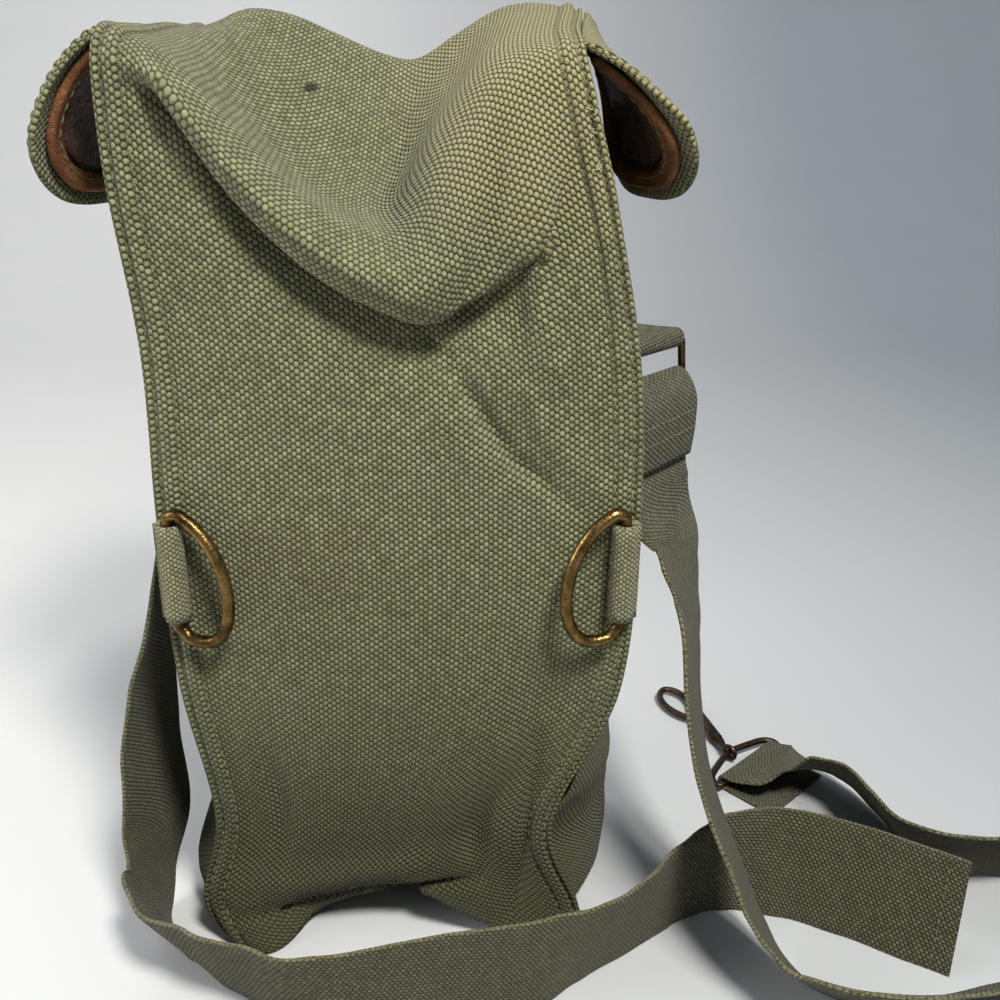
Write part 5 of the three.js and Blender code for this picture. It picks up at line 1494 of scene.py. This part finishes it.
# %% [markdown]
# The snap hook and the ring at the strap's end are bent wire too, dark bronze. The hook is four bodies
# in one piece: an eye round the ring's apex, a shank that thickens, a collar and a long loop. Booleans
# could fuse them, but bodies that just run into each other look the same here and keep clean faces.

# %% Hook and its ring
HOOK_WIRE, HOOK_EYE_WIRE, HOOK_LENGTH, HOOK_SHANK, HOOK_LOOP_WIDTH = 3.8, 2.6, 72, 7, 15
# (along the bar, away from it) as shares of the ring's half width and depth
ring_shape = [(-1, 0), (-0.5, 0), (0, 0), (0.5, 0), (1, 0), (1.02, 0.25), (0.9, 0.55), (0.5, 0.82), (0.1, 1),
              (-0.1, 1), (-0.5, 0.82), (-0.9, 0.55), (-1.02, 0.25), (-1, 0)]
ring_path = [ring_bar + ring_along * a * HOOK_RING_BAR / 2 - ring_back * b * HOOK_RING_DEPTH
             + np.array([0, 0, 1.2 * b]) for a, b in ring_shape]
hook_ring = loft(wire_loops(smooth_curve(ring_path, 6)[:-1], HOOK_RING_WIRE / 2, True), closed=True)
link_mesh("hook_ring_wire", hook_ring, bronze, "bag", ("hook_ring",))

# %% Hook
hook_heading = math.radians(104)
apex = ring_bar - ring_back * HOOK_RING_DEPTH + np.array([0, 0, 1.2])
hook_ahead = np.array([math.cos(hook_heading), math.sin(hook_heading), 0])
hook_aside = np.array([-hook_ahead[1], hook_ahead[0], 0])
eye_radius = HOOK_RING_WIRE / 2 + 0.4 + HOOK_EYE_WIRE / 2


def hook_point(along, side):
    rise = HOOK_SHANK / 2 + GAP - apex[2]
    return (apex + hook_ahead * along * HOOK_LENGTH + hook_aside * side * HOOK_LOOP_WIDTH
            + np.array([0, 0, rise * clamp01(4 * along)]))


hook_eye = [apex - ring_back * eye_radius * math.cos(t) + np.array([0, 0, eye_radius * math.sin(t)])
            for t in np.linspace(0, 2 * np.pi, 28, endpoint=False)]
shank_points = [hook_point(a, 0) for a in (0.14, 0.25, 0.4, 0.6, 0.72)]
shank = smooth_curve([apex - ring_back * eye_radius] + shank_points, 6)
hook_loop = [(0.5, 0), (0.72, -0.02), (0.88, 0.02), (0.97, 0.25), (1.0, 0.55), (0.95, 0.85), (0.84, 1.0),
             (0.7, 0.9), (0.56, 0.5), (0.5, 0)]
hook_loop = smooth_curve([hook_point(a, s) for a, s in hook_loop], 6)[:-1]
collar = [hook_point(a, 0) for a in np.linspace(0.2, 0.25, 5)]


def shank_radius(t):
    thick = lerp(HOOK_EYE_WIRE, HOOK_SHANK, clamp01(2.5 * t)) / 2
    return thick * (1 - 0.25 * clamp01(8 * t - 7))


def collar_radius(t):
    return 3.45 - 1.2 * (2 * t - 1) ** 4


hook_parts = merged(loft(wire_loops(hook_eye, HOOK_EYE_WIRE / 2, True, 12), closed=True),
                    loft(wire_loops(shank, shank_radius, False)),
                    loft(wire_loops(collar, collar_radius, False)),
                    loft(wire_loops(hook_loop, HOOK_WIRE / 2, True), closed=True))
link_mesh("hook_wire", hook_parts, bronze, "bag", ("hook",))

# %% [markdown]
# The plain stud on the hidden flap is a turned metal button, and its CAD shape is right, so it only gets
# the brass. The table is a stage: a plane with a wall would show a line where they meet, so one wide
# floor sweeps up into a wall far behind the bag, and no horizon shows.

# %% Stud and table
for material_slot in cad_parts["lid_stud"].material_slots:
    material_slot.material = brass

# %% Table and backdrop
SWEEP_START, SWEEP_RADIUS, TABLE_REACH, WALL_HEIGHT = 1.1, 1.3, 5.0, 4.0
sweep = [(-TABLE_REACH, 0.0), (SWEEP_START, 0.0)]
for turn in np.linspace(0, math.pi / 2, 33)[1:]:
    sweep.append((SWEEP_START + SWEEP_RADIUS * math.sin(turn), SWEEP_RADIUS * (1 - math.cos(turn))))
sweep.append((SWEEP_START + SWEEP_RADIUS, WALL_HEIGHT))
table_points = [(x, float(y), float(z)) for y, z in sweep for x in (-TABLE_REACH, TABLE_REACH)]
table_faces = [(2 * i, 2 * i + 1, 2 * i + 3, 2 * i + 2) for i in range(len(sweep) - 1)]
table_mesh = bpy.data.meshes.new("table")
table_mesh.from_pydata(table_points, [], table_faces)
table_mesh.materials.append(table_material)
table_mesh.shade_smooth()
table = bpy.data.objects.new("table", table_mesh)
scene.collection.objects.link(table)
table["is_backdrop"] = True

# %% [markdown]
# Last, both boxes are printed, so that the dressed bag can be compared with its CAD model.

# %% Sizes and finish
boxes = {name: [[float(value) for value in corner] for corner in box]
         for name, box in (("cad", cad_box), ("visual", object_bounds()))}
print("sizes", boxes)
